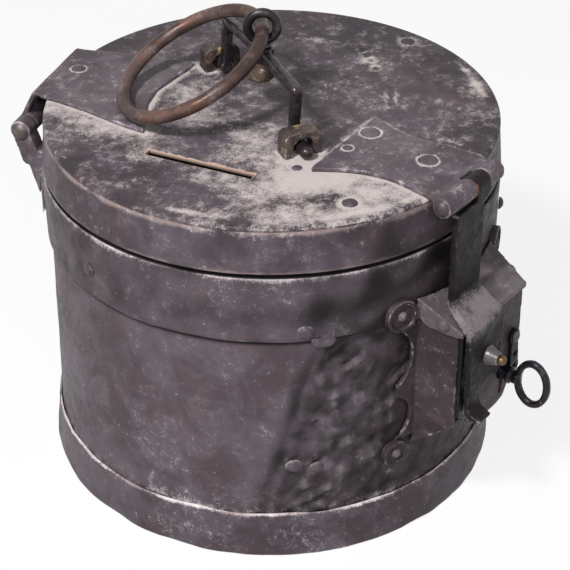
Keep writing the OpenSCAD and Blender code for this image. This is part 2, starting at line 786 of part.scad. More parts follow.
module lock_roof() {
    lip = front_y - 0.6;
    back = -(lid_r - 2);
    flap = 5.5;
    color(pale_iron) difference() {
        lock_frame() {
            intersection() {
                translate([0, 0, -wall_h / 2]) linear_extrude(wall_h) case_plan(flap_t + snug, back, lip);
                slab_x([[back, roof_at(back)], [lip, roof_at(lip)], [lip, roof_at(lip) - roof_rise],
                    [back, roof_at(back) - roof_rise]], -2 * case_back_w, 2 * case_back_w);
            }
            intersection() {
                translate([0, 0, -60]) linear_extrude(130) difference() {
                    case_plan(flap_t + snug, back, lip);
                    case_plan(snug, back + past, lip - past);
                }
                slab_x([[back, roof_at(back) - 1], [lip, roof_at(lip) - 1],
                    [lip, roof_at(lip) - 2.4], [front_y + 7, roof_at(front_y) - flap + 2.4],
                    [front_y + 15, roof_at(front_y) - flap + 3.6], [back, roof_at(back) - flap - 3]],
                    -40, 40);
            }
        }
        cylinder(r = band_r + seat, h = lid_top, $fn = smooth);
    }
}

module lock_bottom() {
    front = inner_y + snug;
    back = back_end_y + 3;
    color(dark_iron) difference() {
        lock_frame() intersection() {
            translate([0, 0, -wall_h / 2]) linear_extrude(wall_h) case_plan(-case_t - snug, back, front);
            slab_x([[back, bottom_at(back)], [front, bottom_at(front)],
                [front, bottom_at(front) + bottom_rise], [back, bottom_at(back) + bottom_rise]],
                -2 * case_back_w, 2 * case_back_w);
        }
        drum_outline(snug);
    }
}

module lock_front() {
    w = case_w(front_y);
    slot_low = loop_low - 0.6;
    slot_rise = 27.4;
    slot_high = loop_high + slot_rise;
    drift = 0.1;
    color(dark_iron) lock_frame() difference() {
        slab_y([[-w, -5.5], [-w + 7, -9.9], [-w + 10.3, -15], [-8, -16.5], [8, -16.5],
            [w - 10.3, -15], [w - 7, -9.9], [w, -5.5], [w, front_top], [-w, front_top]], front_y, inner_y);
        slab_y([[loop_l - 0.6, slot_low], [loop_r + 0.6, slot_low],
            [loop_r + 0.6 + drift * (slot_high - slot_low), slot_high], [loop_l - 0.6, slot_high]],
            front_y - past, inner_y + past);
        bar_y(key_x, 0, hole_r, front_y - past, inner_y + past);
        translate([key_x - bit_t / 2 - 0.3, front_y - past, -bit_reach - 0.4])
            cube([bit_t + 0.6, front_t + 2 * past, bit_reach]);
    }
}

module lock_back() {
    w = case_w(back_y) - case_t - snug;
    low = bottom_at(back_y) + bottom_rise + snug;
    high = roof_at(back_y) - roof_rise - 8;
    color(dark_iron) lock_frame()
        slab_y([[-w, low], [w, low], [w, high], [-w, high]], back_y, back_y + back_t);
}

module ear(az, z, r, size) {
    rim = 1.7;
    on_drum(az, z, r) {
        translate([0, 0, -3]) cylinder(r = size, h = 5);
        difference() {
            cylinder(r = size, h = 2.9);
            cylinder(r = size - rim, h = 4);
        }
    }
}

module lock_ears() {
    color(iron) difference() {
        for (side = [-1, 1]) {
            ear(-90 + side * ear_turn, key_z + upper_ear, band_lip_r, upper_ear_r);
            ear(-90 + side * ear_turn, key_z + lower_ear, wall_at(key_z + lower_ear), ear_r);
        }
        drum_outline(snug);
        translate([0, 0, key_z + lower_ear - 3 * ear_r]) linear_extrude(upper_ear - lower_ear + 6 * ear_r)
            case_plan(flap_t + seat, back_end_y + 10, front_y);
    }
}

module lock_rivets() {
    flap_y = front_y + 8.6;
    turn = atan2(case_back_w - case_front_w, back_end_y - inner_y);
    color(pale_iron) {
        for (side = [-1, 1]) {
            on_drum(-90 + side * ear_turn, key_z + upper_ear, band_lip_r + 2) dome(2.4, 1.6);
            on_drum(-90 + side * ear_turn, key_z + lower_ear, wall_at(key_z + lower_ear) + 2)
                dome(2.4, 1.6);
            lock_frame() translate([side * (case_w(flap_y) + flap_t + snug), flap_y, roof_at(flap_y) - 3.4])
                rotate([0, side * 90, 0]) rotate([turn, 0, 0]) dome(3.1, 2);
        }
    }
}

// Works

module key_post() {
    color(pale_iron) lock_frame() bar_y(key_x, 0, post_r, key_tip_y - 9, back_y);
}

module bolt_studs() {
    color(pale_iron) lock_frame() for (x = [stud_a, stud_b]) {
        bar_y(x, stud_z, stud_r, inner_y, bolt_in_y + 0.1);
        bar_y(x, stud_z, stud_r + 0.7, bolt_in_y + 0.1, bolt_in_y + 1);
    }
}

module bolt_keeper() {
    wide = 3;
    wall = 1.3;
    left = bolt_tip - 2.2;
    color(dark_iron) lock_frame() difference() {
        translate([left, inner_y, head_low - seat - wall])
            cube([wide, bolt_in_y - inner_y + seat + wall, bolt_h + 2 * (seat + wall)]);
        translate([left - past, inner_y - past, head_low - seat])
            cube([wide + 2 * past, bolt_in_y - inner_y + seat + past, bolt_h + 2 * seat]);
    }
}

module bolt_spring() {
    t = 0.9;
    low = tail_high + seat;
    color(pale_iron) lock_frame() slab_y([
        [tail_right - 1, low + 6], [tail_right - 5, low + 6], [tail_right - 5, low + 3.4],
        [tail_right - 9, low + t + 0.9], [tail_right - 13, low + t], [2, low + t + 0.8],
        [2, low + 0.8], [tail_right - 13, low], [tail_right - 8.6, low], [tail_right - 4, low + 2.4],
        [tail_right - 1, low + 2.8]], inner_y, bolt_in_y - 0.4);
}

module lock_bolt() {
    crank = 3.6;
    crank_l = -1.6;
    color(pale_iron) lock_frame() difference() {
        slab_y([[bolt_tip, head_low], [crank_l + crank, head_low], [crank_l + crank, tail_low],
            [key_x - notch_w / 2, tail_low], [key_x - notch_w / 2, notch_top],
            [key_x + notch_w / 2, notch_top], [key_x + notch_w / 2, tail_low], [tail_right, tail_low],
            [tail_right, tail_high], [crank_l, tail_high], [crank_l, head_high], [bolt_tip, head_high]],
            bolt_y, bolt_in_y);
        translate([slide_from, bolt_y - past, slide_low])
            cube([slide_to - slide_from, bolt_t + 2 * past, slide_high - slide_low]);
    }
}

// Oval bow in the plane of the key's axis and the bit, its bar's corners stepped back
module oval(w, h) {
    polygon([for (a = [0:7.5:359]) [w / 2 * cos(a), h / 2 * sin(a)]]);
}

module bow() {
    step = bow_bar * 0.16;
    rotate([90, 0, 90]) for (layer = [[bow_bar, step], [bow_bar - 2 * step, 0]]) {
        linear_extrude(layer[0], center = true) difference() {
            oval(bow_w - 2 * layer[1], bow_h - 2 * layer[1]);
            oval(bow_w - 2 * bow_bar + 2 * layer[1], bow_h - 2 * bow_bar + 2 * layer[1]);
        }
    }
}

module key() {
    bit_y = inner_y + 0.6;
    bit_l = 6.8;
    stem_y = bow_mid_y + bow_w / 2 - bow_bar * 0.6;
    color(dark_iron) lock_frame() difference() {
        union() {
            bar_y(key_x, 0, key_r, stem_y, key_tip_y);
            bar_y(key_x, 0, key_r + 0.9, stem_y + 3.4, stem_y + 5);
            translate([key_x - bit_t / 2, bit_y, 0]) cube([bit_t, bit_l, bit_reach]);
            translate([key_x, bow_mid_y, 0]) bow();
        }
        bar_y(key_x, 0, post_r + fit, key_tip_y - 9.6, key_tip_y + past);
    }
}

module keyhole_cover() {
    leaf_x = key_x + key_r + 0.4 + 4;
    leaf_z = -1;
    color(dark_iron) lock_frame() difference() {
        union() {
            bar_y(cover_x, cover_z, 3.6, cover_y - cover_t, cover_y);
            bar_y(leaf_x, leaf_z, 4, cover_y - cover_t, cover_y);
            slab_y([[cover_x - 2.6, cover_z], [leaf_x - 3.4, leaf_z + 2], [leaf_x + 3.4, leaf_z + 2],
                [cover_x + 2.6, cover_z]], cover_y - cover_t, cover_y);
        }
        bar_y(cover_x, cover_z, cover_pin_r + fit, cover_y - cover_t - past, cover_y + past);
        bar_y(leaf_x + 0.2, leaf_z + 7, 1.3, cover_y - cover_t - past, cover_y + past);
        bar_y(leaf_x, leaf_z, 1.6, cover_y - cover_t - past, cover_y + past);
    }
}

module cover_pin() {
    end_y = cover_y - cover_t - seat;
    color(pale_iron) lock_frame() {
        bar_y(cover_x, cover_z, cover_pin_r, end_y, front_y);
        translate([cover_x, end_y, cover_z]) rotate([90, 0, 0]) dome(2.8, 1.3);
    }
}

body_shell();
base_plate();
base_band();
upper_band();
body_rivets();
hinge_body_leaf();
hinge_pin();
lid_plate();
lid_skirt();
hinge_lid_strap();
hasp_lid_plate();
hasp_pin();
lid_rivets();
staple_front();
staple_rear();
bail();
swivel_eye();
swivel_button();
carry_ring();
hasp();
hasp_knob();
hasp_knob_tip();
hasp_loop();
lock_wall_left();
lock_wall_right();
lock_roof();
lock_bottom();
lock_front();
lock_back();
lock_ears();
lock_rivets();
key_post();
bolt_studs();
bolt_keeper();
bolt_spring();
lock_bolt();
key();
keyhole_cover();
cover_pin();
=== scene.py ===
"""Dresses the forged-iron alms box: hammered drum and lid, worn handle, hasp and lock case."""

import logging
import math
from collections.abc import Callable, Sequence
from dataclasses import dataclass
from enum import Enum
from typing import NamedTuple

import bpy
import numpy as np
from mathutils import Matrix, Vector, noise
from mathutils.bvhtree import BVHTree


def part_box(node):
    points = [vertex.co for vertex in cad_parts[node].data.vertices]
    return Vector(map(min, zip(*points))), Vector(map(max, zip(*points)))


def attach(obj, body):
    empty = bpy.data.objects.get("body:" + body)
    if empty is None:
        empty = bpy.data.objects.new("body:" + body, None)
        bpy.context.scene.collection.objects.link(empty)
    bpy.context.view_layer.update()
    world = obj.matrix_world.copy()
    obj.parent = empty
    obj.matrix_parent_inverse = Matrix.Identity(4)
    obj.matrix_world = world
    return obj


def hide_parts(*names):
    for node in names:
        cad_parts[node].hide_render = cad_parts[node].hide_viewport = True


log = logging.getLogger("alms_box")
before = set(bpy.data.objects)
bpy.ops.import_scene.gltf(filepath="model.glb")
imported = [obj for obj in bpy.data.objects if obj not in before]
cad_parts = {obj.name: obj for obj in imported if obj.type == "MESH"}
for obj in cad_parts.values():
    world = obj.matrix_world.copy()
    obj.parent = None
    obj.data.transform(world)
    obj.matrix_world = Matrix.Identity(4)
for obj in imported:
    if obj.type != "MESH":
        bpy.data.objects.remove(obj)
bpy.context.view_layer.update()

MM = 0.001
Colour = tuple[int, int, int]
Pair = tuple[float, float]
Spot = tuple[float, float, float]
Line = Patch = tuple[float, float, float, float]
Points = np.ndarray
Piece = bpy.types.Object
Socket = bpy.types.NodeSocket
Change = Callable[[Points], Points]


class Body(str, Enum):
    """The bodies that pieces ride on."""

    DRUM = "drum"
    LID = "lid"
    HASP = "hasp"
    BAIL = "bail"
    SWIVEL = "swivel"
    RING = "ring"
    KEY = "key"
    COVER = "cover"


class Mark(str, Enum):
    """Names of the values painted on a piece's points."""

    WEAR_AND_HIGHLIGHT = "wear"
    DUST_AND_HIGHLIGHT = "dust"
    BARE = "bare"
    SHADE = "shade"
    RUST = "rust"


def linear(colour: Colour) -> tuple[float, ...]:
    """Turns a display colour of 0 to 255 into a linear one."""
    parts = [c / 255 for c in colour]
    return (*(p / 12.92 if p <= 0.04045 else ((p + 0.055) / 1.055) ** 2.4 for p in parts), 1.0)


def rows(items: bpy.types.bpy_prop_collection, name: str, width: int) -> Points:
    """A property of many items, one row for each."""
    found = np.empty(len(items) * width)
    items.foreach_get(name, found)
    return found.reshape(-1, width)


class Ramp(NamedTuple):
    """Where a layer of a finish starts, where it is full, and how much it then hides."""

    low: float
    high: float
    share: float = 1.0


class Graph:
    """A material's nodes, added one at a time."""

    def __init__(self, holder: bpy.types.Material | bpy.types.World) -> None:
        """Empties the nodes of a material or a world."""
        holder.use_nodes = True
        self.tree = holder.node_tree
        self.tree.nodes.clear()

    def add(self, kind: str, inputs: dict | None = None, **settings: object) -> bpy.types.Node:
        """Adds a node.

        Args:
            kind: Blender's name of the node type, without the ShaderNode in front.
            inputs: values or output sockets by input name or number.
            settings: properties of the node itself.

        Returns:
            The new node.
        """
        made = self.tree.nodes.new("ShaderNode" + kind)
        for key, value in settings.items():
            setattr(made, key, value)
        for key, value in (inputs or {}).items():
            if isinstance(value, Socket):
                self.tree.links.new(value, made.inputs[key])
            else:
                made.inputs[key].default_value = value
        return made

    def noise(self, at: Socket, scale: float, detail: float, rough: float, warp: float = 0.0) -> Socket:
        """A cloud pattern of that many patches a metre."""
        inputs = {"Vector": at, "Scale": scale, "Detail": detail, "Roughness": rough, "Distortion": warp}
        return self.add("TexNoise", inputs).outputs[0]

    def sums(self, first: object, second: object, share: float) -> Socket:
        """first + second * share."""
        return self.add("Math", {0: second, 1: share, 2: first}, operation="MULTIPLY_ADD").outputs[0]

    def ramp(self, value: Socket, low: float, high: float, start: float, end: float) -> Socket:
        """A smooth rise from start to end while value goes from low to high."""
        inputs = {0: value, 1: low, 2: high, 3: start, 4: end}
        return self.add("MapRange", inputs, interpolation_type="SMOOTHSTEP").outputs[0]

    def mix(self, share: object, first: object, second: object) -> Socket:
        """A colour between first and second."""
        inputs = {0: share, 6: first, 7: second}
        return self.add("Mix", inputs, data_type="RGBA").outputs[2]

    def layer(self, tone: object, colour: Colour, value: Socket, where: Ramp,
              share: float | None = None) -> Socket:
        """Lays a colour over a tone where a value is high.

        Args:
            tone: the tone below.
            colour: the display colour that is laid over it.
            value: the pattern that the layer follows.
            where: where the layer starts and is full.
            share: how much it hides, if not the ramp's own share.

        Returns:
            The new tone.
        """
        hidden = self.ramp(value, where.low, where.high, 0, where.share if share is None else share)
        return self.mix(hidden, tone, linear(colour))

    def mark(self, name: Mark) -> Socket:
        """A value painted on the piece's points."""
        return self.add("Attribute", attribute_name=name.value, attribute_type="GEOMETRY").outputs["Fac"]


PATCHES = Ramp(0.7, 1.0)
HOLLOWS = Ramp(0.5, 0.3)
LIGHTS = Ramp(0.8, 1.04)
BLOOMS = Ramp(0.5, 0.7)
FLECKS = Ramp(0.7, 0.8)
RUBBED = Ramp(0.55, 1.1)
BARED = Ramp(0.45, 0.85, 0.95)
RUSTED = Ramp(0.75, 1.15, 0.9)
SHADED = Ramp(0.0, 1.0, 0.94)
SHEEN = Ramp(0.35, 0.65)
FINE_SCALE = 1300
FLECK_SCALE = 430


@dataclass(frozen=True)
class Iron:
    """A finish of old metal: its colours, from hollows to worn edges and a near-black for painted shade, and
    its grain.
    """

    name: str
    slot: str
    deep: Colour
    middle: Colour
    light: Colour
    edge: Colour = (158, 148, 154)
    bloom: Colour = (92, 68, 60)
    # The dust colour; on the hasp it is the colour of a painted highlight.
    dust: Colour = (222, 213, 214)
    bare: Colour = (208, 178, 164)
    orange: Colour = (164, 112, 76)
    # The next colour is the near-black laid where the shade mark is high: painted shade, and darkening.
    painted_shade: Colour = (14, 12, 12)
    bloom_share: float = 0.35
    edge_share: float = 0.6
    dust_share: float = 0.85
    dust_start: float = 1.42
    dust_fade: float = 0.7
    light_share: float = 0.35
    dark_share: float = 0.35
    specks: float = 0.25
    metallic: float = 0.05
    specular: float = 0.12
    rough_low: float = 0.36
    rough_high: float = 0.56
    patches: float = 20.0
    grain: float = 260.0
    bump: float = 0.3

    def material(self) -> bpy.types.Material:
        """Makes the finish once and returns it."""
        known = bpy.data.materials.get(self.name)
        if known:
            return known
        material = bpy.data.materials.new(self.name)
        g = Graph(material)
        at = g.add("TexCoord").outputs["Object"]
        broad = g.noise(at, self.patches, 3, 0.5, 0.3)
        drift = g.noise(at, self.patches * 4, 6, 0.62, 0.5)
        mottle = g.noise(at, self.grain, 7, 0.7, 0.2)
        fine = g.noise(at, FINE_SCALE, 3, 0.6)
        flecks = g.noise(at, FLECK_SCALE, 2, 0.5)
        bloom = g.noise(at, self.patches * 2.3, 8, 0.68, 0.6)
        tone = g.layer(linear(self.deep), self.middle, g.sums(broad, drift, 0.7), PATCHES)
        tone = g.layer(tone, self.deep, mottle, HOLLOWS, self.dark_share)
        tone = g.layer(tone, self.light, g.sums(mottle, drift, 0.6), LIGHTS, self.light_share)
        tone = g.layer(tone, self.bloom, bloom, BLOOMS, self.bloom_share)
        tone = g.layer(tone, self.dust, flecks, FLECKS, self.specks)
        tone = g.layer(tone, self.edge, g.sums(g.mark(Mark.WEAR_AND_HIGHLIGHT), mottle, 0.7), RUBBED, self.edge_share)
        # The dust mark, which on the hasp's bend is a painted highlight, with the grain on top.
        settled = g.sums(g.sums(g.sums(g.mark(Mark.DUST_AND_HIGHLIGHT), mottle, 1.2), fine, 0.9), drift, 0.5)
        powder = g.ramp(settled, self.dust_start, self.dust_start + self.dust_fade, 0, self.dust_share)
        tone = g.mix(powder, tone, linear(self.dust))
        tone = g.layer(tone, self.bare, g.sums(g.mark(Mark.BARE), mottle, 0.4), BARED)
        tone = g.layer(tone, self.orange, g.sums(g.mark(Mark.RUST), mottle, 0.9), RUSTED)
        # Painted shade: the near-black laid where the shade mark is high.
        tone = g.layer(tone, self.painted_shade, g.mark(Mark.SHADE), SHADED)
        rough = g.ramp(mottle, SHEEN.low, SHEEN.high, self.rough_low, self.rough_high)
        height = g.sums(g.sums(mottle, fine, 0.25), drift, 0.6)
        bump = g.add("Bump", {"Height": height, "Distance": self.bump * MM, "Strength": 1.0})
        look = {"Base Color": tone, "Roughness": g.sums(rough, powder, 0.25), "Metallic": self.metallic,
                "Specular IOR Level": self.specular, "Normal": bump.outputs[0]}
        g.add("OutputMaterial", {0: g.add("BsdfPrincipled", look).outputs[0]})
        return material


WALL_IRON = Iron("wall_iron", "forged_iron", (70, 60, 65), (88, 79, 86), (112, 103, 110),
                 light_share=0.2, dark_share=0.5, bloom_share=0.18)
RIM_IRON = Iron("rim_iron", "forged_iron", (64, 55, 60), (84, 76, 84), (110, 102, 110),
                light_share=0.25, edge=(160, 142, 138))
LID_IRON = Iron("lid_iron", "forged_iron", (54, 47, 52), (84, 76, 82), (140, 131, 137), light_share=0.7,
                dark_share=0.75, edge=(158, 136, 130), grain=300, dust_start=1.4, dust=(208, 197, 194))
PLATE_IRON = Iron("plate_iron", "dark_iron", (70, 62, 68), (98, 89, 95), (142, 133, 139),
                  edge=(190, 181, 186), edge_share=0.8)
STAPLE_IRON = Iron("staple_iron", "dark_iron", (54, 47, 46), (80, 72, 71), (132, 123, 124),
                   edge=(170, 158, 158), edge_share=0.8, metallic=0.2, dust=(214, 178, 132), dust_start=1.3)
HANDLE_IRON = Iron("handle_iron", "dark_iron", (44, 40, 43), (68, 63, 67), (120, 114, 118),
                   dust=(200, 168, 122), metallic=0.7, rough_low=0.22, rough_high=0.4, bump=0.15,
                   light_share=0.2, specks=0.1)
# Its dust colour is laid mostly as a painted highlight where the hasp bends over the case's roof.
HASP_IRON = Iron("hasp_iron", "dark_iron", (20, 17, 18), (31, 26, 28), (60, 52, 56), light_share=0.15,
                 edge=(142, 134, 138), edge_share=0.7, dust=(130, 122, 126), bloom_share=0.15, specks=0.1)
CASE_IRON = Iron("case_iron", "forged_iron", (50, 42, 46), (69, 60, 66), (96, 87, 93), light_share=0.15,
                 edge=(170, 157, 160), edge_share=0.75, specks=0.12, bloom_share=0.15)
ROOF_IRON = Iron("roof_iron", "pale_iron", (84, 77, 81), (118, 110, 115), (160, 152, 156), metallic=0.15,
                 light_share=0.3)
DARK_IRON = Iron("inner_iron", "dark_iron", (42, 38, 39), (60, 54, 55), (92, 86, 85))
PIN_IRON = Iron("pin_iron", "bright_steel", (70, 62, 62), (96, 88, 88), (140, 132, 132), metallic=0.5)
RING_IRON = Iron("ring_iron", "worn_iron", (66, 52, 49), (92, 78, 74), (112, 101, 99), bloom=(124, 88, 74),
                 bloom_share=0.5, metallic=0.3, rough_low=0.3, rough_high=0.46, bump=0.1, specks=0.1,
                 grain=160)
KEY_IRON = Iron("key_iron", "dark_iron", (26, 25, 29), (42, 41, 47), (90, 86, 92), edge=(140, 110, 104),
                bloom_share=0.15, metallic=0.7, rough_low=0.2, rough_high=0.36, bump=0.08, specks=0.05)
STEEL = Iron("old_steel", "bright_steel", (92, 88, 91), (132, 128, 131), (186, 182, 184),
             edge=(206, 202, 203), bloom_share=0.2, metallic=0.6, rough_low=0.3, rough_high=0.46,
             bump=0.1, specks=0.1)
RUSTY_BRASS = Iron("button_brass", "rusty_brass", (50, 41, 35), (80, 67, 55), (112, 98, 80),
                   bloom=(92, 66, 48), bloom_share=0.5, metallic=0.0, rough_low=0.55, rough_high=0.75,
                   edge=(150, 132, 108), edge_share=0.4)
BRASS = Iron("ball_brass", "brass", (98, 76, 50), (134, 108, 74), (184, 162, 126), edge=(206, 186, 150),
             bloom_share=0.4, metallic=0.7, rough_low=0.28, rough_high=0.44, bump=0.08)


class Bench:
    """Blender's own tools, used the same way by every maker of a piece."""

    @staticmethod
    def link(name: str, data: bpy.types.ID) -> Piece:
        """Puts an object with that data into the scene."""
        made = bpy.data.objects.new(name, data)
        bpy.context.scene.collection.objects.link(made)
        return made

    @staticmethod
    def pick(piece: Piece) -> None:
        """Selects that piece alone."""
        bpy.ops.object.select_all(action="DESELECT")
        piece.select_set(True)
        bpy.context.view_layer.objects.active = piece

    @classmethod
    def settle(cls, piece: Piece) -> None:
        """Puts a piece's place and turn into its mesh, so that its object sits at the origin."""
        cls.pick(piece)
        bpy.ops.object.transform_apply(location=True, rotation=True, scale=True)

    @classmethod
    def finish(cls, piece: Piece, kind: str, **settings: object) -> None:
        """Adds a modifier to a piece and applies it.

        Args:
            piece: the piece.
            kind: the modifier's type.
            settings: the modifier's properties.
        """
        cls.pick(piece)
        modifier = piece.modifiers.new(kind.lower(), kind)
        for key, value in settings.items():
            setattr(modifier, key, value)
        bpy.ops.object.modifier_apply(modifier=modifier.name)

    @classmethod
    def merge(cls, piece: Piece, distance: float = 1e-6, outward: bool = False) -> None:
        """Joins points that lie on each other.

        Args:
            piece: the piece.
            distance: how far apart they may be, in metres.
            outward: whether the faces are turned outwards as well.
        """
        cls.pick(piece)
        bpy.ops.object.mode_set(mode="EDIT")
        bpy.ops.mesh.select_all(action="SELECT")
        bpy.ops.mesh.remove_doubles(threshold=distance)
        if outward:
            bpy.ops.mesh.normals_make_consistent(inside=False)
        bpy.ops.object.mode_set(mode="OBJECT")

    @staticmethod
    def points(piece: Piece) -> Points:
        """A piece's points in millimetres."""
        return rows(piece.data.vertices, "co", 3) / MM

    @staticmethod
    def move(piece: Piece, points: Points) -> None:
        """Sets a piece's points, in millimetres."""
        piece.data.vertices.foreach_set("co", (points * MM).ravel())
        piece.data.update()

    @classmethod
    def swell(cls, piece: Piece, change: Change) -> Points:
        """Moves the points of a turned piece in or out.

        Args:
            piece: the piece.
            change: gives each point's move outwards, in millimetres.

        Returns:
            Its new points.
        """
        points = cls.points(piece)
        points[:, :2] *= (1 + change(points) / np.maximum(polar(points)[0], 1))[:, None]
        cls.move(piece, points)
        return cls.points(piece)

    @classmethod
    def dents(cls, piece: Piece, depth: float, size: float) -> None:
        """Works a piece with shallow hammer marks.

        Args:
            piece: the piece.
            depth, size: depth and width of the marks, in millimetres.
        """
        marks = bpy.data.textures.new(f"{piece.name}_{size:g}", "CLOUDS")
        marks.noise_scale = size * MM
        marks.noise_depth = 2
        cls.finish(piece, "DISPLACE", texture=marks, texture_coords="LOCAL", direction="NORMAL",
                   strength=depth * 2 * MM, mid_level=0.5)

    @classmethod
    def copy(cls, node: str, name: str) -> Piece:
        """A loose copy of a CAD node, with its points merged."""
        piece = cls.link(name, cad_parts[node].data.copy())
        piece.data.materials.clear()
        cls.merge(piece)
        return piece

    @classmethod
    def turn(cls, name: str, profile: Sequence[Pair], steps: int, closed: bool = True) -> Piece:
        """Spins a profile of (radius, height) points round the drum's axis.

        Args:
            name: the piece's name.
            profile: the points, in millimetres.
            steps: how many steps the full turn has.
            closed: whether the last point joins the first.

        Returns:
            The new piece.
        """
        bpy.ops.mesh.primitive_circle_add(vertices=len(profile), radius=0.1, fill_type="NOTHING")
        piece = bpy.context.object
        piece.name = name
        for vertex, (radius, height) in zip(piece.data.vertices, profile):
            vertex.co = (radius * MM, 0, height * MM)
        bpy.ops.object.mode_set(mode="EDIT")
        if not closed:
            bpy.ops.mesh.select_all(action="DESELECT")
            bpy.ops.object.mode_set(mode="OBJECT")
            for edge in piece.data.edges:
                edge.select = set(edge.vertices) == {0, len(profile) - 1}
            bpy.ops.object.mode_set(mode="EDIT")
            bpy.ops.mesh.delete(type="EDGE_FACE")
        bpy.ops.mesh.select_all(action="SELECT")
        bpy.ops.mesh.spin(steps=steps, angle=2 * math.pi, center=(0, 0, 0), axis=(0, 0, 1))
        bpy.ops.object.mode_set(mode="OBJECT")
        cls.merge(piece, 1e-5, outward=True)
        return piece


def dense(corners: Sequence[Pair], step: float) -> list[Pair]:
    """Puts points between corner points.

    Args:
        corners: the corner points.
        step: the greatest distance between two neighbours.

    Returns:
        The corners with the points between them.
    """
    made = [corners[0]]
    for (r0, z0), (r1, z1) in zip(corners, corners[1:]):
        parts = max(1, math.ceil(math.hypot(r1 - r0, z1 - z0) / step))
        made += [(r0 + (r1 - r0) * i / parts, z0 + (z1 - z0) * i / parts) for i in range(1, parts + 1)]
    return made


def rise(values: Points, start: float, end: float) -> Points:
    """0 up to start, 1 from end on and a straight rise between, also where end is the lower one."""
    return np.clip((values - start) / (end - start), 0, 1)


def bell(values: Points, middle: float, width: float) -> Points:
    """1 at the middle, falling away like a bell of that width."""
    return np.exp(-((values - middle) / width) ** 2)


def polar(points: Points) -> tuple[Points, Points]:
    """Each point's distance from the drum's axis, and its angle in degrees."""
    x, y = points[:, 0], points[:, 1]
    return np.hypot(x, y), np.degrees(np.arctan2(y, x))


def lock_side(angle: Points) -> Points:
    """1 at the angles beside the lock, which its case and the hasp shade."""
    return rise(angle, -140, -114) * rise(angle, -40, -60)


def clouds(points: Points, size: Sequence[float] | float, seed: float = 0.0) -> Points:
    """Smooth noise.

    Args:
        points: the points, in millimetres.
        size: how large its patches are, in millimetres.
        seed: moves the pattern.

    Returns:
        About -1 to 1 for each point.
    """
    scaled = points / np.array(size, float) + seed
    return np.array([noise.noise(Vector(p)) for p in scaled])


def near_segment(points: Points, line: Line) -> Points:
    """How far points lie from a line, seen from above.

    Args:
        points: the points.
        line: x and y of its start, and of its end.

    Returns:
        The distance of each.
    """
    a, b = np.array(line[:2], float), np.array(line[2:], float)
    along = np.clip((points[:, :2] - a) @ (b - a) / ((b - a) @ (b - a)), 0, 1)
    return np.linalg.norm(points[:, :2] - a - along[:, None] * (b - a), axis=1)


class Painter:
    """Paints wear, dust and bare metal on a piece's points."""

    @staticmethod
    def store(piece: Piece, mark: Mark, values: Points) -> None:
        """Keeps one value for each point."""
        layer = piece.data.attributes.new(mark.value, "FLOAT", "POINT")
        layer.data.foreach_set("value", np.clip(values, 0, 1).astype(np.float32))

    @staticmethod
    def around(values: Points, edges: Points) -> Points:
        """The sum of the values beside each point."""
        (first, second), count = edges.T, len(values)
        return np.bincount(first, values[second], count) + np.bincount(second, values[first], count)

    @classmethod
    def wear(cls, piece: Piece, low: float = 0.05, high: float = 0.3, extra: Points | float = 0) -> None:
        """Marks the corners that stand out, which hands and cloths rub bright.

        Args:
            piece: the piece.
            low, high: the bends at which the rubbing starts and is full.
            extra: more wear, which on the wall is also a painted highlight, one value for each point or for
                all.
        """
        points = Bench.points(piece)
        normals = rows(piece.data.vertex_normals, "vector", 3)
        edges = rows(piece.data.edges, "vertices", 2).astype(int)
        count = np.maximum(np.bincount(edges.ravel(), minlength=len(points)), 1)
        length = np.linalg.norm(points[edges[:, 0]] - points[edges[:, 1]], axis=1).mean()
        middle = np.stack([cls.around(points[:, k], edges) for k in range(3)], 1) / count[:, None]
        bend = ((points - middle) * normals).sum(1) / length
        worn = rise(bend, low, high)
        for _ in range(2):
            worn = (worn + cls.around(worn, edges)) / (1 + count)
        uneven = np.clip(0.85 + 1.1 * clouds(points, 9, 61), 0.25, 1.3)
        cls.store(piece, Mark.WEAR_AND_HIGHLIGHT, worn * 1.5 * uneven + extra)

    @staticmethod
    def beside(points: Points, nodes: Sequence[str], reach: float) -> Points:
        """Finds the points beside CAD nodes.

        Args:
            points: the points.
            nodes: the CAD nodes.
            reach: how far their neighbourhood goes, in millimetres.

        Returns:
            1 where a point touches one of the nodes, falling to 0 at the reach.
        """
        nearest = np.full(len(points), reach)
        for node in nodes:
            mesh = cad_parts[node].data
            tree = BVHTree.FromPolygons([v.co for v in mesh.vertices], [p.vertices for p in mesh.polygons])
            low, high = (np.array(corner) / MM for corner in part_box(node))
            close = np.all((points > low - reach) & (points < high + reach), axis=1)
            for i in np.flatnonzero(close):
                found = tree.find_nearest(Vector(points[i] * MM), reach * MM)
                if found[0] is not None:
                    nearest[i] = min(nearest[i], found[3] / MM)
        return 1 - nearest / reach


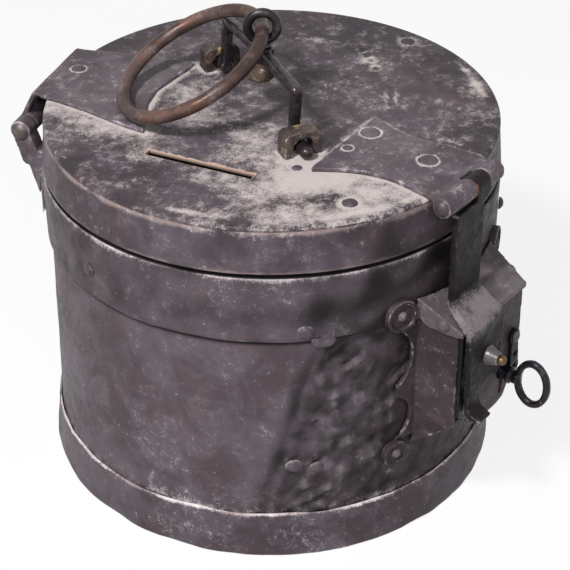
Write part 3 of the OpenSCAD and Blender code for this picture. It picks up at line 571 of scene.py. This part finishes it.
@dataclass(frozen=True)
class Forging:
    """A CAD shape worked until it looks hand forged: softened corners and hammer marks.

    Attributes:
        node, name, body, iron: the CAD node, and the piece's name, body and finish.
        grid, soften: how finely the shape is rebuilt, and how often it is smoothed.
        depth, size: depth and width of the hammer marks.
        round_off: how often the outline is smoothed, seen from above.
        near, reach, near_dust: nodes beside which dust lies, how far and how much.
        rust_by: nodes beside which rust shows.
        dust, shade: dust all over, and darkening all over.
        shape, powder, soot: functions of the points that move them, add dust (on the hasp's bend, a painted
            highlight), or add painted shade.
    """

    node: str
    name: str
    body: Body
    iron: Iron
    grid: float = 0.6
    soften: int = 2
    depth: float = 0.3
    size: float = 6.0
    round_off: int = 0
    near: tuple[str, ...] = ()
    reach: float = 1.5
    near_dust: float = 0.7
    rust_by: tuple[str, ...] = ()
    dust: float = 0.0
    shade: float = 0.0
    shape: Change | None = None
    powder: Change | None = None
    shade_paint: Change | None = None

    def make(self) -> None:
        """Builds the piece, dresses it and puts it on its body."""
        piece = Bench.copy(self.node, self.name)
        Bench.finish(piece, "REMESH", mode="VOXEL", voxel_size=self.grid * MM, adaptivity=0.0)
        Bench.finish(piece, "SMOOTH", factor=0.5, iterations=self.soften)
        if self.round_off:
            Bench.finish(piece, "SMOOTH", factor=0.5, iterations=self.round_off, use_z=False)
        if self.shape:
            Bench.move(piece, self.shape(Bench.points(piece)))
        Bench.dents(piece, self.depth, self.size)
        Bench.dents(piece, self.depth * 0.35, self.size / 3)
        Painter.wear(piece)
        points = Bench.points(piece)
        settled = np.full(len(points), self.dust)
        # Added dust; on the hasp's bend this is a painted highlight.
        if self.powder:
            settled += self.powder(points)
        if self.near:
            settled = np.maximum(settled, Painter.beside(points, self.near, self.reach) * self.near_dust)
        Painter.store(piece, Mark.DUST_AND_HIGHLIGHT, settled)
        if self.shade_paint:
            Painter.store(piece, Mark.SHADE, self.shade_paint(points))
        elif self.shade:
            Painter.store(piece, Mark.SHADE, self.shade * (1 + 0.8 * clouds(points, 3, 62)))
        if self.rust_by:
            Painter.store(piece, Mark.RUST, Painter.beside(points, self.rust_by, 0.8) * 0.75)
        place(piece, self.body, self.iron, self.node)


def place(piece: Piece, body: Body, iron: Iron, node: str) -> None:
    """Gives a piece its finish and body, and hides the CAD node that it stands for.

    Args:
        piece: the piece, at the origin.
        body: the body that it rides on.
        iron: its finish.
        node: the CAD node that it replaces.
    """
    piece.data.materials.clear()
    piece.data.materials.append(iron.material())
    Bench.pick(piece)
    bpy.ops.object.shade_smooth_by_angle(angle=math.radians(50))
    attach(piece, body.value)
    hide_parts(node)
    log.info("%s rides on %s, %d faces", piece.name, body.value, len(piece.data.polygons))


@dataclass
class Drum:
    """The round wall with its two hoops, rivets and hinge leaf."""

    wall_low_r: float = 101.2
    wall_top_r: float = 99.4
    height: float = 145.5
    thickness: float = 2.0
    steps: int = 480
    foot_z: float = 23.0
    # The foot hoop's section: radius and height of its corners
    foot_edge: tuple[Pair, ...] = (
        (101.2, 0.2), (104.1, 0.2), (104.4, 1.2), (103.2, 21.2), (102.9, 22.4), (102.2, 22.9), (101.0, 22.9))
    # The patch on the foot hoop: its two angles, and its lower and upper edge
    patch: Patch = (-123.0, -114.0, 4.0, 18.5)
    hoop_z: float = 114.0
    # The lapped seam: its angle at the height seam_z, and how many degrees it leans for each millimetre
    seam: float = -133.5
    seam_z: float = 110.0
    seam_lean: float = 0.15
    leaf_r: float = 104.2
    root_z: float = 146.0
    root_drop: float = 15.0
    # Each worn rivet: angle, height, width and height as shares, shifts in angle and height
    worn_rivets: tuple[tuple[float, ...], ...] = (
        (-131.0, 109.0, 1.15, 0.7, 1.0, 4.4), (-134.3, 118.0, 1.35, 1.2, -0.1, 1.0),
        (-137.0, 48.5, 1.3, 1.1, 0.0, 0.6), (-131.5, 46.5, 1.3, 1.1, 0.2, 0.3))
    rivet_reach: Pair = (3.4, 6.0)

    def wall_r(self, z: float) -> float:
        """Outer radius of the wall at a height."""
        return self.wall_low_r + (self.wall_top_r - self.wall_low_r) * z / self.height

    def seam_at(self, z: Points) -> Points:
        """The seam's angle at each height."""
        return self.seam - self.seam_lean * (self.seam_z - z)

    def rivets(self, points: Points) -> Points:
        """Works each wall rivet to its own worn shape, with the heads further out.

        Args:
            points: the rivets' points.

        Returns:
            The moved points.
        """
        radius, angle = polar(points)
        z = points[:, 2].copy()
        for spot, height, wide, high, turned, raised in self.worn_rivets:
            near = (abs(angle - spot) < self.rivet_reach[0]) & (abs(z - height) < self.rivet_reach[1])
            angle[near] = spot + turned + (angle[near] - spot) * wide
            points[near, 2] = height + raised + (z[near] - height) * high
        radius += 0.2 * np.clip(radius - self.wall_r(z) - 0.4, 0, 3)
        turn = np.radians(angle)
        points[:, 0], points[:, 1] = radius * np.cos(turn), radius * np.sin(turn)
        return points

    def leaf_roots(self, points: Points) -> Points:
        """Draws the roots of the hinge leaf's knuckles down, so that they run out smoothly.

        Args:
            points: the leaf's points.

        Returns:
            The moved points.
        """
        away = polar(points)[0] - self.leaf_r
        root = rise(away, 4.6, 0) * rise(away, 0, 0.6)
        points[:, 2] -= self.root_drop * root * rise(points[:, 2], self.root_z, self.root_z - 8)
        return points

    def wall_work(self, points: Points) -> Points:
        """The wall's relief: the step of the lap, broad dents, and rough ridges right of the seam.

        Args:
            points: the wall's points.

        Returns:
            Each point's move outwards.
        """
        radius, angle = polar(points)
        z = points[:, 2]
        free = rise(z, self.foot_z - 3, self.foot_z + 5) * rise(z, self.hoop_z, self.hoop_z - 10)
        lap = angle - self.seam_at(z) + 2 * clouds(points, 24, 3)
        step = rise(lap, -26, 0) * rise(lap, 1.6, 0) * 0.9
        rough = rise(lap, 0, 4) * rise(angle, -100, -112)
        slanted = points - np.outer(angle * 1.05, (0, 0, 1))
        ridges = 1 - 3 * np.abs(clouds(slanted, (22, 22, 6), 7)) + 0.6 * clouds(points, 4, 8)
        broad = clouds(points, 34, 1) * 0.45 + clouds(points, 11, 2) * 0.15
        shift = free * (step + broad + rough * (ridges - 1) * 1.1 - 0.3)
        groove = bell(lap, 2, 1.6) * 0.6 * free
        tucked = np.minimum(shift - groove, 0.65) - 0.25 * rise(z, 100, 110)
        return np.where(radius > self.wall_low_r - self.thickness + 0.05, tucked, 0)

    def wall_shade(self, points: Points) -> Points:
        """Painted shade on the wall, in the crease below the hoop, beside the lap's step and round the lock
        case, and darkening right of the seam.

        Args:
            points: the wall's points.

        Returns:
            The painted shade and darkening at each point.
        """
        angle, z = polar(points)[1], points[:, 2]
        # Painted shade in the crease below the hoop.
        crease = 0.9 * np.exp(-np.clip(self.hoop_z - 1.6 - z, 0, 99) / 1.4)
        lap = angle - self.seam_at(z)
        # Darker right of the seam.
        patches = 0.57 + 0.32 * clouds(points, (9, 9, 6), 41) + 0.35 * clouds(points, 4.5, 46)
        darkened = rise(lap, 0, 5) * rise(angle, -60, -90) * np.clip(patches, 0, 1)
        # Painted shadow beside the step of the lap.
        seam_shadow = bell(lap + 3 * clouds(points, 20, 43), 1, 2.4) * (z < self.hoop_z - 8)
        seam_shadow *= np.clip(0.5 + 0.5 * clouds(points, (30, 30, 12), 44), 0, 1)
        # Painted shade round the lock case.
        case = 0.75 * Painter.beside(points, ("lock_wall_left", "lock_wall_right", "lock_ears"), 6)
        return np.maximum.reduce([crease, darkened, seam_shadow, case])

    def wall(self) -> None:
        """The wall: a lapped seam towards the front left, and rough hammering beside it."""
        levels = [*range(0, 21, 5), *np.arange(22, 28, 0.8), *np.arange(28, 106, 2.6),
                  *np.arange(107, 116, 0.7), *np.arange(118, self.height, 6), self.height]
        inner = dense([(self.wall_r(z) - self.thickness, z) for z in (self.height, 0)], 24)
        piece = Bench.turn("drum_wall", [(self.wall_r(z), z) for z in levels] + inner, self.steps)
        points = Bench.swell(piece, self.wall_work)
        # The extra wear at angle -148 is a painted highlight: a lighter band on the wall where it faces the
        # camera.
        Painter.wear(piece, 0.03, 0.2, 0.12 * bell(polar(points)[1], -148, 7))
        low = np.exp(-np.abs(points[:, 2] - self.foot_z) / 1.6) * (0.25 + 0.3 * clouds(points, 15, 24))
        Painter.store(piece, Mark.DUST_AND_HIGHLIGHT, low + 0.02 + 0.12 * clouds(points, 40, 5))
        Painter.store(piece, Mark.SHADE, self.wall_shade(points))
        place(piece, Body.DRUM, WALL_IRON, "body_shell")

    def foot_work(self, points: Points) -> Points:
        """The foot hoop's relief: a beaten face with a lapped patch.

        Args:
            points: the hoop's points.

        Returns:
            Each point's move outwards.
        """
        radius, angle = polar(points)
        z = points[:, 2]
        start, end, low, high = self.patch
        patch = rise(angle, start, start + 0.8) * rise(angle, end, end - 0.8)
        patch *= rise(z, low, low + 1) * rise(z, high, high - 1.5)
        rough = clouds(points, 9, 4) * 0.3 + clouds(points, 26, 8) * 0.8
        shift = np.minimum(rough - 0.6 + patch * 0.55, 0.1)
        return np.where(radius > self.wall_low_r + 0.4, shift, 0)

    def foot_hoop(self) -> None:
        """The hoop at the foot: a ledge that catches dust, and a beaten lower edge."""
        piece = Bench.turn("foot_hoop", dense(self.foot_edge, 1.6)[:-1], self.steps)
        points = Bench.swell(piece, self.foot_work)
        points[:, 2] += np.where(points[:, 2] > 20, 0.9 * clouds(points, 17, 9) - 0.3, 0)
        low = points[:, 2] < 1
        points[low, 2] += np.clip(1.4 * clouds(points[low], 18, 12), 0, 1.3)
        Bench.move(piece, points)
        Painter.wear(piece)
        ledge = rise(points[:, 2], self.foot_z - 1.4, self.foot_z - 0.6)
        ledge *= np.clip(0.42 + 0.5 * clouds(points, 15, 24), 0.05, 0.9)
        Painter.store(piece, Mark.DUST_AND_HIGHLIGHT, 0.02 + ledge + 0.2 * clouds(points, 20, 2))
        place(piece, Body.DRUM, RIM_IRON, "base_band")

    def hoop_work(self, points: Points) -> Points:
        """The upper hoop's relief: each point's move outwards."""
        rough = clouds(points, 30, 6) * 0.25 + clouds(points, 8, 3) * 0.1
        return np.where(polar(points)[0] > 100.5, np.minimum(rough - 0.12, 0.08), 0)

    def upper_hoop(self) -> None:
        """The hoop below the lid, with a bright upper edge."""
        low = self.hoop_z
        edge = [(self.wall_r(low) - 0.2, low), (101.1, low), (101.5, low + 0.5), (101.9, 144.4),
                (101.6, 145.3), (101.0, self.height), (self.wall_top_r, self.height)]
        piece = Bench.turn("upper_hoop", dense(edge, 1.8)[:-1], self.steps)
        points = Bench.swell(piece, self.hoop_work)
        points[:, 2] += np.where(points[:, 2] < low + 1, 0.9 * clouds(points, 22, 5) + 0.3, 0)
        Bench.move(piece, points)
        Painter.wear(piece)
        points = Bench.points(piece)
        radius, angle = polar(points)
        z, lip = points[:, 2], self.height - 1.5
        line = rise(z, lip, lip + 0.8) * (radius > 101)
        line *= np.clip(0.45 + 0.4 * clouds(points, 18, 25), 0.1, 0.8)
        Painter.store(piece, Mark.DUST_AND_HIGHLIGHT, 0.02 + line + 0.15 * clouds(points, 16, 4))
        # Painted shade: near-black on the band's top face, in the gap under the lid's rim, and darker all
        # round, most beside the lock, which its case and the hasp shade.
        darkened = (0.42 + 0.4 * lock_side(angle)) * (0.8 + clouds(points, 12, 42))
        Painter.store(piece, Mark.SHADE, np.maximum(rise(radius, 101.4, 100.9) * (z > lip), darkened))
        place(piece, Body.DRUM, WALL_IRON, "upper_band")

    def make(self) -> None:
        """Builds the drum's pieces."""
        self.wall()
        self.foot_hoop()
        self.upper_hoop()
        Forging("body_rivets", "wall_rivets", Body.DRUM, WALL_IRON, 0.4, 2, 0.28, 4.5,
                shade=0.3, shape=self.rivets).make()
        Forging("hinge_body_leaf", "hinge_leaf", Body.DRUM, PLATE_IRON, 0.7, 1, 0.2, 8,
                shape=self.leaf_roots).make()


@dataclass
class Lid:
    """The lid's top with its coin slot, its rim, strap, plate and rivets."""

    radius: float = 100.0
    top: float = 168.6
    under: float = 166.4
    rim_low: float = 147.2
    edge: float = 1.8
    slot: Pair = (-57.3, -6.6)
    slot_turn: float = 13.0
    slot_size: Pair = (49.4, 4.6)
    cut_depth: float = 12.0
    fixed: tuple[str, ...] = ("hinge_lid_strap", "hasp_lid_plate", "lid_rivets", "staple_front",
                              "staple_rear")
    # Each patch of powder: x, y, its size and its share
    powder: tuple[Patch, ...] = (
        (-34, -40, 15, 0.62), (-27, -55, 10, 0.5), (-40, -56, 12, 0.55), (-30, -74, 12, 0.38),
        (-24, -92, 9, 0.25), (-58, -45, 16, 0.4), (-66, -60, 14, 0.42), (-46, -80, 14, 0.4),
        (-57, 62, 9, 0.5), (-57, 45, 8, 0.5), (-60, 78, 7, 0.5), (-52, 32, 7, 0.45), (-12, 36, 15, 0.45),
        (-25, 20, 12, 0.24), (-64, 14, 9, 0.4), (-30, -12, 16, 0.34), (-74, -24, 14, 0.3),
        (70, -60, 10, 0.32), (44, -40, 10, 0.3), (62, -10, 9, 0.28))
    # Lines from x, y to x, y: cuts in the iron, and pale and dark streaks of dust
    scars: tuple[Line, ...] = (
        (72.1, 4.2, 69.4, 0.8), (66.9, -2.4, 65.8, -4.4), (64.0, -7.4, 63.2, -8.8),
        (53.7, -26.1, 32.8, -40.7), (59.0, -14.0, 57.8, -15.0))
    pale_lines: tuple[Line, ...] = (
        (86.9, -39.9, 81.8, -48.0), (81.8, -48.0, 73.9, -58.5), (73.9, -58.5, 66.0, -68.0),
        (60.8, 32.5, 66.6, 23.3), (-92, -20, -84, -42), (-60, -74, -38, -88), (-30, -91, 2, -95))
    dark_lines: tuple[Line, ...] = (
        (51.4, -32.6, 63.2, -46.2), (-76.7, 37.3, -80, 20), (-75.9, -30.1, -76.1, -17.1),
        (-62, -50, -46, -66), (-44, 6, -36, 2))

    def from_slot(self, points: Points) -> tuple[Points, Points]:
        """How far points lie from the slot's middle.

        Args:
            points: the points.

        Returns:
            The distances along the slot, and across it away from the near rim.
        """
        turn = math.radians(self.slot_turn)
        x, y = points[:, 0] - self.slot[0], points[:, 1] - self.slot[1]
        return y * math.cos(turn) - x * math.sin(turn), x * math.cos(turn) + y * math.sin(turn)

    def blank(self) -> Piece:
        """The plate as turned, with the slot cut through it."""
        curve = [(self.radius - self.edge * (1 - math.cos(a)), self.top - self.edge * (1 - math.sin(a)))
                 for a in np.radians(range(0, 91, 18))]
        bottom = dense([(0, self.under), (self.radius - 2.1, self.under)], 14)
        top = dense([curve[-1], (0, self.top)], 1.5)
        profile = bottom + [(self.radius, self.under)] + curve[:-1] + top
        piece = Bench.turn("lid_top", profile, 360, closed=False)
        bpy.ops.mesh.primitive_cube_add(size=1, location=Vector((*self.slot, self.top)) * MM,
                                        rotation=(0, 0, math.radians(90 + self.slot_turn)),
                                        scale=Vector((*self.slot_size, self.cut_depth)) * MM)
        cutter = bpy.context.object
        Bench.settle(cutter)
        Bench.finish(piece, "BOOLEAN", operation="DIFFERENCE", object=cutter, solver="EXACT")
        bpy.data.objects.remove(cutter)
        return piece

    def beat(self, piece: Piece) -> Points:
        """Gives the plate its shallow dips and scars.

        Args:
            piece: the plate.

        Returns:
            Its new points.
        """
        points = Bench.points(piece)
        flat = rise(polar(points)[0], self.radius - 1.5, self.radius - 4.5) * (points[:, 2] > self.top - 0.4)
        dip = 0.14 + 0.14 * clouds(points, 26, 11) + 0.05 * clouds(points, 6, 13)
        torn = 0.7 + 0.6 * clouds(points, 3, 17)
        for line in self.scars:
            dip += 0.7 * bell(near_segment(points, line), 0, 1.2) * torn
        points[:, 2] -= np.clip(dip, 0, 1) * flat
        Bench.move(piece, points)
        return points

    def dust(self, points: Points) -> Points:
        """Dust on the plate: in patches and streaks, beside the scars and round what stands on it.

        Args:
            points: the plate's points.

        Returns:
            The dust at each point.
        """
        settled = 0.12 + 0.16 * clouds(points, 22, 21) + 0.16 * clouds(points, 6, 22)
        for line in self.pale_lines:
            settled += 0.4 * bell(near_segment(points, line), 0, 1.8)
        for line in self.dark_lines:
            settled -= 0.4 * bell(near_segment(points, line), 0, 7)
        for x, y, size, share in self.powder:
            settled += share * bell(np.hypot(points[:, 0] - x, points[:, 1] - y), 0, size)
        back = rise(points[:, 0] + points[:, 1] * 0.4, 10, 50)
        settled -= 0.12 * back
        for line in self.scars:
            away = near_segment(points, line)
            settled += 0.35 * bell(away, 2, 0.9) - 0.4 * bell(away, 0, 1.2)
        patchy = 0.9 - 0.4 * back + 0.25 * clouds(points, 8, 27)
        settled = np.maximum(settled, Painter.beside(points, self.fixed, 4.5) * patchy)
        return np.where(points[:, 2] > self.top - 1.5, settled, 0.05)

    def plate(self) -> None:
        """The top: a turned plate with shallow dents, scars, dust and the coin slot."""
        piece = self.blank()
        points = self.beat(piece)
        Painter.wear(piece, 0.04, 0.22)
        Painter.store(piece, Mark.DUST_AND_HIGHLIGHT, self.dust(points))
        along, across = self.from_slot(points)
        half_l, half_w = self.slot_size[0] / 2, self.slot_size[1] / 2
        wall = (abs(along) < half_l + 0.1) & (abs(across) < half_w + 0.1)
        Painter.store(piece, Mark.BARE, np.where(across > 0.5 - half_w, 1.0, 0.4) * wall)
        # Painted shade in the scars' pits and on the lower part of the slot's walls.
        torn = 0.5 + 0.7 * clouds(points, 3, 17)
        scar_shade = sum(bell(near_segment(points, line), 0, 1.1) * torn for line in self.scars)
        depth = rise(points[:, 2], self.top - 0.6, self.top - 2.0) * wall
        Painter.store(piece, Mark.SHADE, np.maximum(0.7 * scar_shade, depth))
        place(piece, Body.LID, LID_IRON, "lid_plate")

    def rim(self) -> None:
        """The turned-down rim: beaten sheet with a worn upper edge."""
        edge = [(self.radius - 2, self.under), (self.radius - 0.3, self.rim_low),
                (self.radius + 1.2, self.rim_low), (self.radius + 1.6, self.rim_low + 0.6),
                (self.radius, self.under)]
        piece = Bench.turn("lid_rim", dense(edge, 1.7), 480)
        points = Bench.points(piece)
        radius, angle = polar(points)
        below = self.under - points[:, 2]
        free = rise(below, 0, 3) * (radius > self.radius - 0.2 + below * 0.05)
        shift = free * np.minimum(clouds(points, 32, 31) * 0.3 + clouds(points, 9, 32) * 0.12 - 0.2, 0.05)
        points[:, :2] *= (1 + shift / radius)[:, None]
        Bench.move(piece, points)
        Painter.wear(piece)
        line = 0.2 * rise(below, 3.4, 0.4)
        Painter.store(piece, Mark.DUST_AND_HIGHLIGHT, 0.02 + line + 0.16 * clouds(points, 13, 33))
        # Painted shade: a little darker all round, and more beside the lock, which its case and the hasp
        # shade.
        darkened = 0.12 + 0.3 * lock_side(angle)
        Painter.store(piece, Mark.SHADE, darkened * (0.8 + clouds(points, 12, 45)))
        place(piece, Body.LID, RIM_IRON, "lid_skirt")

    def make(self) -> None:
        """Builds the lid's pieces."""
        self.plate()
        self.rim()
        for node, name, rusty in (("hinge_lid_strap", "fishtail_strap", ()),
                                  ("hasp_lid_plate", "fishtail_plate", ("hasp",))):
            Forging(node, name, Body.LID, PLATE_IRON, 0.55, 1, 0.12, 9, round_off=10,
                    near=("lid_rivets",), rust_by=rusty, dust=0.1).make()
        Forging("lid_rivets", "lid_rivet_heads", Body.LID, PLATE_IRON, 0.3, 2, 0.25, 3).make()
        for side, name in (("front", "near_staple"), ("rear", "far_staple")):
            Forging(f"staple_{side}", name, Body.LID, STAPLE_IRON, 0.4, 1, 0.25, 5, near=("bail",),
                    reach=2.2).make()


@dataclass
class Handle:
    """The bail, its swivelling eye and the ring."""

    bar: float = 3.0
    big: float = 34.4
    ring_dust: float = 0.02

    def ring(self) -> None:
        """The ring: a torus on the CAD ring's own plane, with a bar of given thickness."""
        points = Bench.points(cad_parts["carry_ring"])
        across = np.linalg.svd(points - points.mean(0), full_matrices=False)[2][2]
        centre = (points.min(0) + points.max(0)) / 2
        turn = Vector(across).to_track_quat("Z", "Y").to_euler()
        bpy.ops.mesh.primitive_torus_add(major_segments=144, minor_segments=20, major_radius=self.big * MM,
                                         minor_radius=self.bar * MM, location=centre * MM, rotation=turn)
        piece = bpy.context.object
        piece.name = "lifting_ring"
        Bench.settle(piece)
        Bench.dents(piece, 0.12, 9)
        Painter.wear(piece, 0.0, 0.5)
        Painter.store(piece, Mark.DUST_AND_HIGHLIGHT, np.full(len(piece.data.vertices), self.ring_dust))
        place(piece, Body.RING, RING_IRON, "carry_ring")

    def make(self) -> None:
        """Builds the handle's pieces."""
        self.ring()
        Forging("bail", "bail_bar", Body.BAIL, HANDLE_IRON, 0.5, 2, 0.25, 6).make()
        Forging("swivel_eye", "eye_bolt", Body.SWIVEL, HANDLE_IRON, 0.4, 2, 0.03, 5).make()
        Forging("swivel_button", "eye_button", Body.SWIVEL, RUSTY_BRASS, 0.4, 2, 0.35, 4, dust=0.1).make()


@dataclass
class Hasp:
    """The hasp with its knob."""

    bend: float = 116.0
    bend_reach: float = 5.5

    def bend_highlight(self, points: Points) -> Points:
        """Painted highlight where the hasp bends over the case's roof, laid on as dust."""
        return 0.75 * bell(points[:, 2], self.bend, self.bend_reach) * (1 + 0.4 * clouds(points, 8, 51))

    def make(self) -> None:
        """Builds the hasp's pieces."""
        Forging("hasp", "hasp_strap", Body.HASP, HASP_IRON, 0.55, 2, 0.3, 9,
                rust_by=("hasp_lid_plate",), powder=self.bend_highlight).make()
        Forging("hasp_knob", "knob_cone", Body.HASP, STEEL, 0.3, 1, 0.12, 3).make()
        Forging("hasp_knob_tip", "knob_ball", Body.HASP, BRASS, 0.22, 1, 0.08, 3).make()


@dataclass
class LockCase:
    """The lock case on the drum's front, with its key and cover."""

    # The raised end of the bottom plate's tenon: y and z, its half length and half height, and its rise
    tenon: Pair = (-104.6, 53.2)
    tenon_size: Pair = (3.4, 1.5)
    tenon_rise: float = 0.9
    wall_depth: float = 12.0

    def side_tenon(self, points: Points) -> Points:
        """Raises the tenon's end on a side wall's lower edge.

        Args:
            points: the side wall's points.

        Returns:
            The moved points.
        """
        (y, z), (long, high) = self.tenon, self.tenon_size
        away = ((points[:, 1] - y) / long) ** 2 + ((points[:, 2] - z) / high) ** 2
        outer = abs(points[:, 0]) > abs(points[:, 0]).max() - self.wall_depth
        lift = self.tenon_rise * np.clip(1.3 - away, 0, 1) ** 0.5 * outer * (away < 1.3)
        points[:, 0] += np.sign(points[:, 0]) * lift
        return points

    def edge_shade(self, points: Points) -> Points:
        """Painted shade on the front plate's narrow edges, which lie in the gap behind the hasp."""
        side = abs(points[:, 0])
        return 0.85 * rise(side, side.max() - 2.2, side.max() - 1)

    def make(self) -> None:
        """Builds the case's pieces."""
        for side in ("left", "right"):
            Forging(f"lock_wall_{side}", f"case_side_{side}", Body.DRUM, CASE_IRON, 0.5, 1, 0.3, 8,
                    shape=self.side_tenon).make()
        Forging("lock_roof", "case_roof", Body.DRUM, ROOF_IRON, 0.5, 1, 0.22, 6).make()
        Forging("lock_front", "case_front", Body.DRUM, CASE_IRON, 0.6, 1, 0.25, 7,
                shade_paint=self.edge_shade).make()
        Forging("lock_ears", "case_ears", Body.DRUM, CASE_IRON, 0.35, 1, 0.15, 4).make()
        Forging("lock_rivets", "case_rivets", Body.DRUM, ROOF_IRON, 0.28, 1, 0.1, 3).make()
        Forging("key", "lock_key", Body.KEY, KEY_IRON, 0.32, 3, 0.06, 4).make()
        Forging("keyhole_cover", "key_cover", Body.COVER, HASP_IRON, 0.35, 1, 0.12, 4).make()


@dataclass
class Carried:
    """CAD nodes whose shape is right as it is."""

    finishes: tuple[tuple[Iron, tuple[str, ...]], ...] = (
        (DARK_IRON, ("base_plate", "lock_bottom", "lock_back", "bolt_keeper")),
        (PIN_IRON, ("hinge_pin", "hasp_pin", "cover_pin")), (HASP_IRON, ("hasp_loop",)),
        (STEEL, ("key_post", "bolt_studs", "bolt_spring", "lock_bolt")))

    def make(self) -> None:
        """Gives each node its finish."""
        for iron, nodes in self.finishes:
            for node in nodes:
                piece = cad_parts[node]
                for holder in piece.material_slots:
                    holder.material = iron.material()
                log.info("%s keeps its shape", node)


@dataclass(frozen=True)
class Lamp:
    """A square soft lamp that points at the box."""

    name: str
    spot: Spot
    size: float
    power: float
    colour: tuple[float, ...]
    aim: Spot = (0, 0, 0.1)

    def hang(self) -> None:
        """Hangs the lamp at its place."""
        data = bpy.data.lights.new(self.name, "AREA")
        data.size = self.size
        data.energy = self.power
        data.color = self.colour
        lamp = Bench.link(self.name, data)
        lamp.location = self.spot
        lamp.rotation_euler = (Vector(self.aim) - Vector(self.spot)).to_track_quat("-Z", "Y").to_euler()


@dataclass
class Studio:
    """The camera, the lamps, the world and the floor."""

    stand: Spot = (-0.5604, -0.4379, 0.5518)
    ahead: Spot = (0.6586, 0.5059, -0.5571)
    lens: float = 115.9
    roll: float = 0.078
    soft_colour: tuple[float, ...] = (0.96, 0.97, 1, 1)
    soft_light: float = 0.1
    floor_colour: tuple[float, ...] = (0.86, 0.86, 0.86, 1)
    floor_width: float = 12.0
    floor_z: float = -0.0002
    floor_glow: float = 0.85
    lamps: tuple[Lamp, ...] = (Lamp("key_lamp", (-1.18, -0.08, 1.5), 0.2, 36, (1, 0.99, 0.98)),
                               Lamp("fill_lamp", (-1.2, -1.15, 1.4), 0.9, 14, (0.98, 0.98, 1)))

    def camera(self) -> None:
        """Stands the camera where the photograph was taken from."""
        data = bpy.data.cameras.new("camera")
        data.lens = self.lens
        camera = Bench.link("camera", data)
        turn = Vector(self.ahead).to_track_quat("-Z", "Y").to_matrix().to_4x4()
        roll = Matrix.Rotation(math.radians(self.roll), 4, "Z")
        camera.matrix_world = Matrix.Translation(self.stand) @ turn @ roll
        bpy.context.scene.camera = camera

    def seen(self, g: Graph) -> Socket:
        """Picks the rays that show the background.

        Args:
            g: the nodes of the world or the floor.

        Returns:
            1 for rays from the camera, and off or through a surface.
        """
        path = g.add("LightPath").outputs
        found = path["Is Camera Ray"]
        for kind in ("Is Glossy Ray", "Is Transmission Ray"):
            found = g.add("Math", {0: found, 1: path[kind]}, operation="MAXIMUM").outputs[0]
        return found

    def world(self) -> None:
        """A white background over plain soft light."""
        world = bpy.data.worlds.new("studio")
        bpy.context.scene.world = world
        g = Graph(world)
        soft = g.add("Background", {"Color": self.soft_colour, "Strength": self.soft_light})
        white = g.add("Background", {"Color": (1, 1, 1, 1), "Strength": 1.0})
        mixed = g.add("MixShader", {0: self.seen(g), 1: soft.outputs[0], 2: white.outputs[0]})
        g.add("OutputWorld", {0: mixed.outputs[0]})

    def floor(self) -> None:
        """A wide white floor that keeps the box's soft shadow."""
        bpy.ops.mesh.primitive_plane_add(size=self.floor_width, location=(0, 0, self.floor_z))
        floor = bpy.context.object
        floor.name = "floor"
        white = bpy.data.materials.new("floor_white")
        g = Graph(white)
        matt = g.add("BsdfDiffuse", {"Color": self.floor_colour})
        glow = g.add("Emission", {"Color": (1, 1, 1, 1), "Strength": 1.0})
        share = g.add("Math", {0: self.seen(g), 1: self.floor_glow}, operation="MULTIPLY")
        mixed = g.add("MixShader", {0: share.outputs[0], 1: matt.outputs[0], 2: glow.outputs[0]})
        g.add("OutputMaterial", {0: mixed.outputs[0]})
        floor.data.materials.append(white)

    def make(self) -> None:
        """Sets up the studio."""
        bpy.context.scene.view_settings.view_transform = "Standard"
        self.camera()
        self.world()
        self.floor()
        for lamp in self.lamps:
            lamp.hang()


def main() -> None:
    """Builds every class of the box in order."""
    logging.basicConfig(level=logging.INFO, format="%(message)s")
    bpy.ops.object.select_all(action="DESELECT")
    for part in (Studio(), Drum(), Lid(), Handle(), Hasp(), LockCase(), Carried()):
        part.make()


if __name__ == "__main__":
    main()
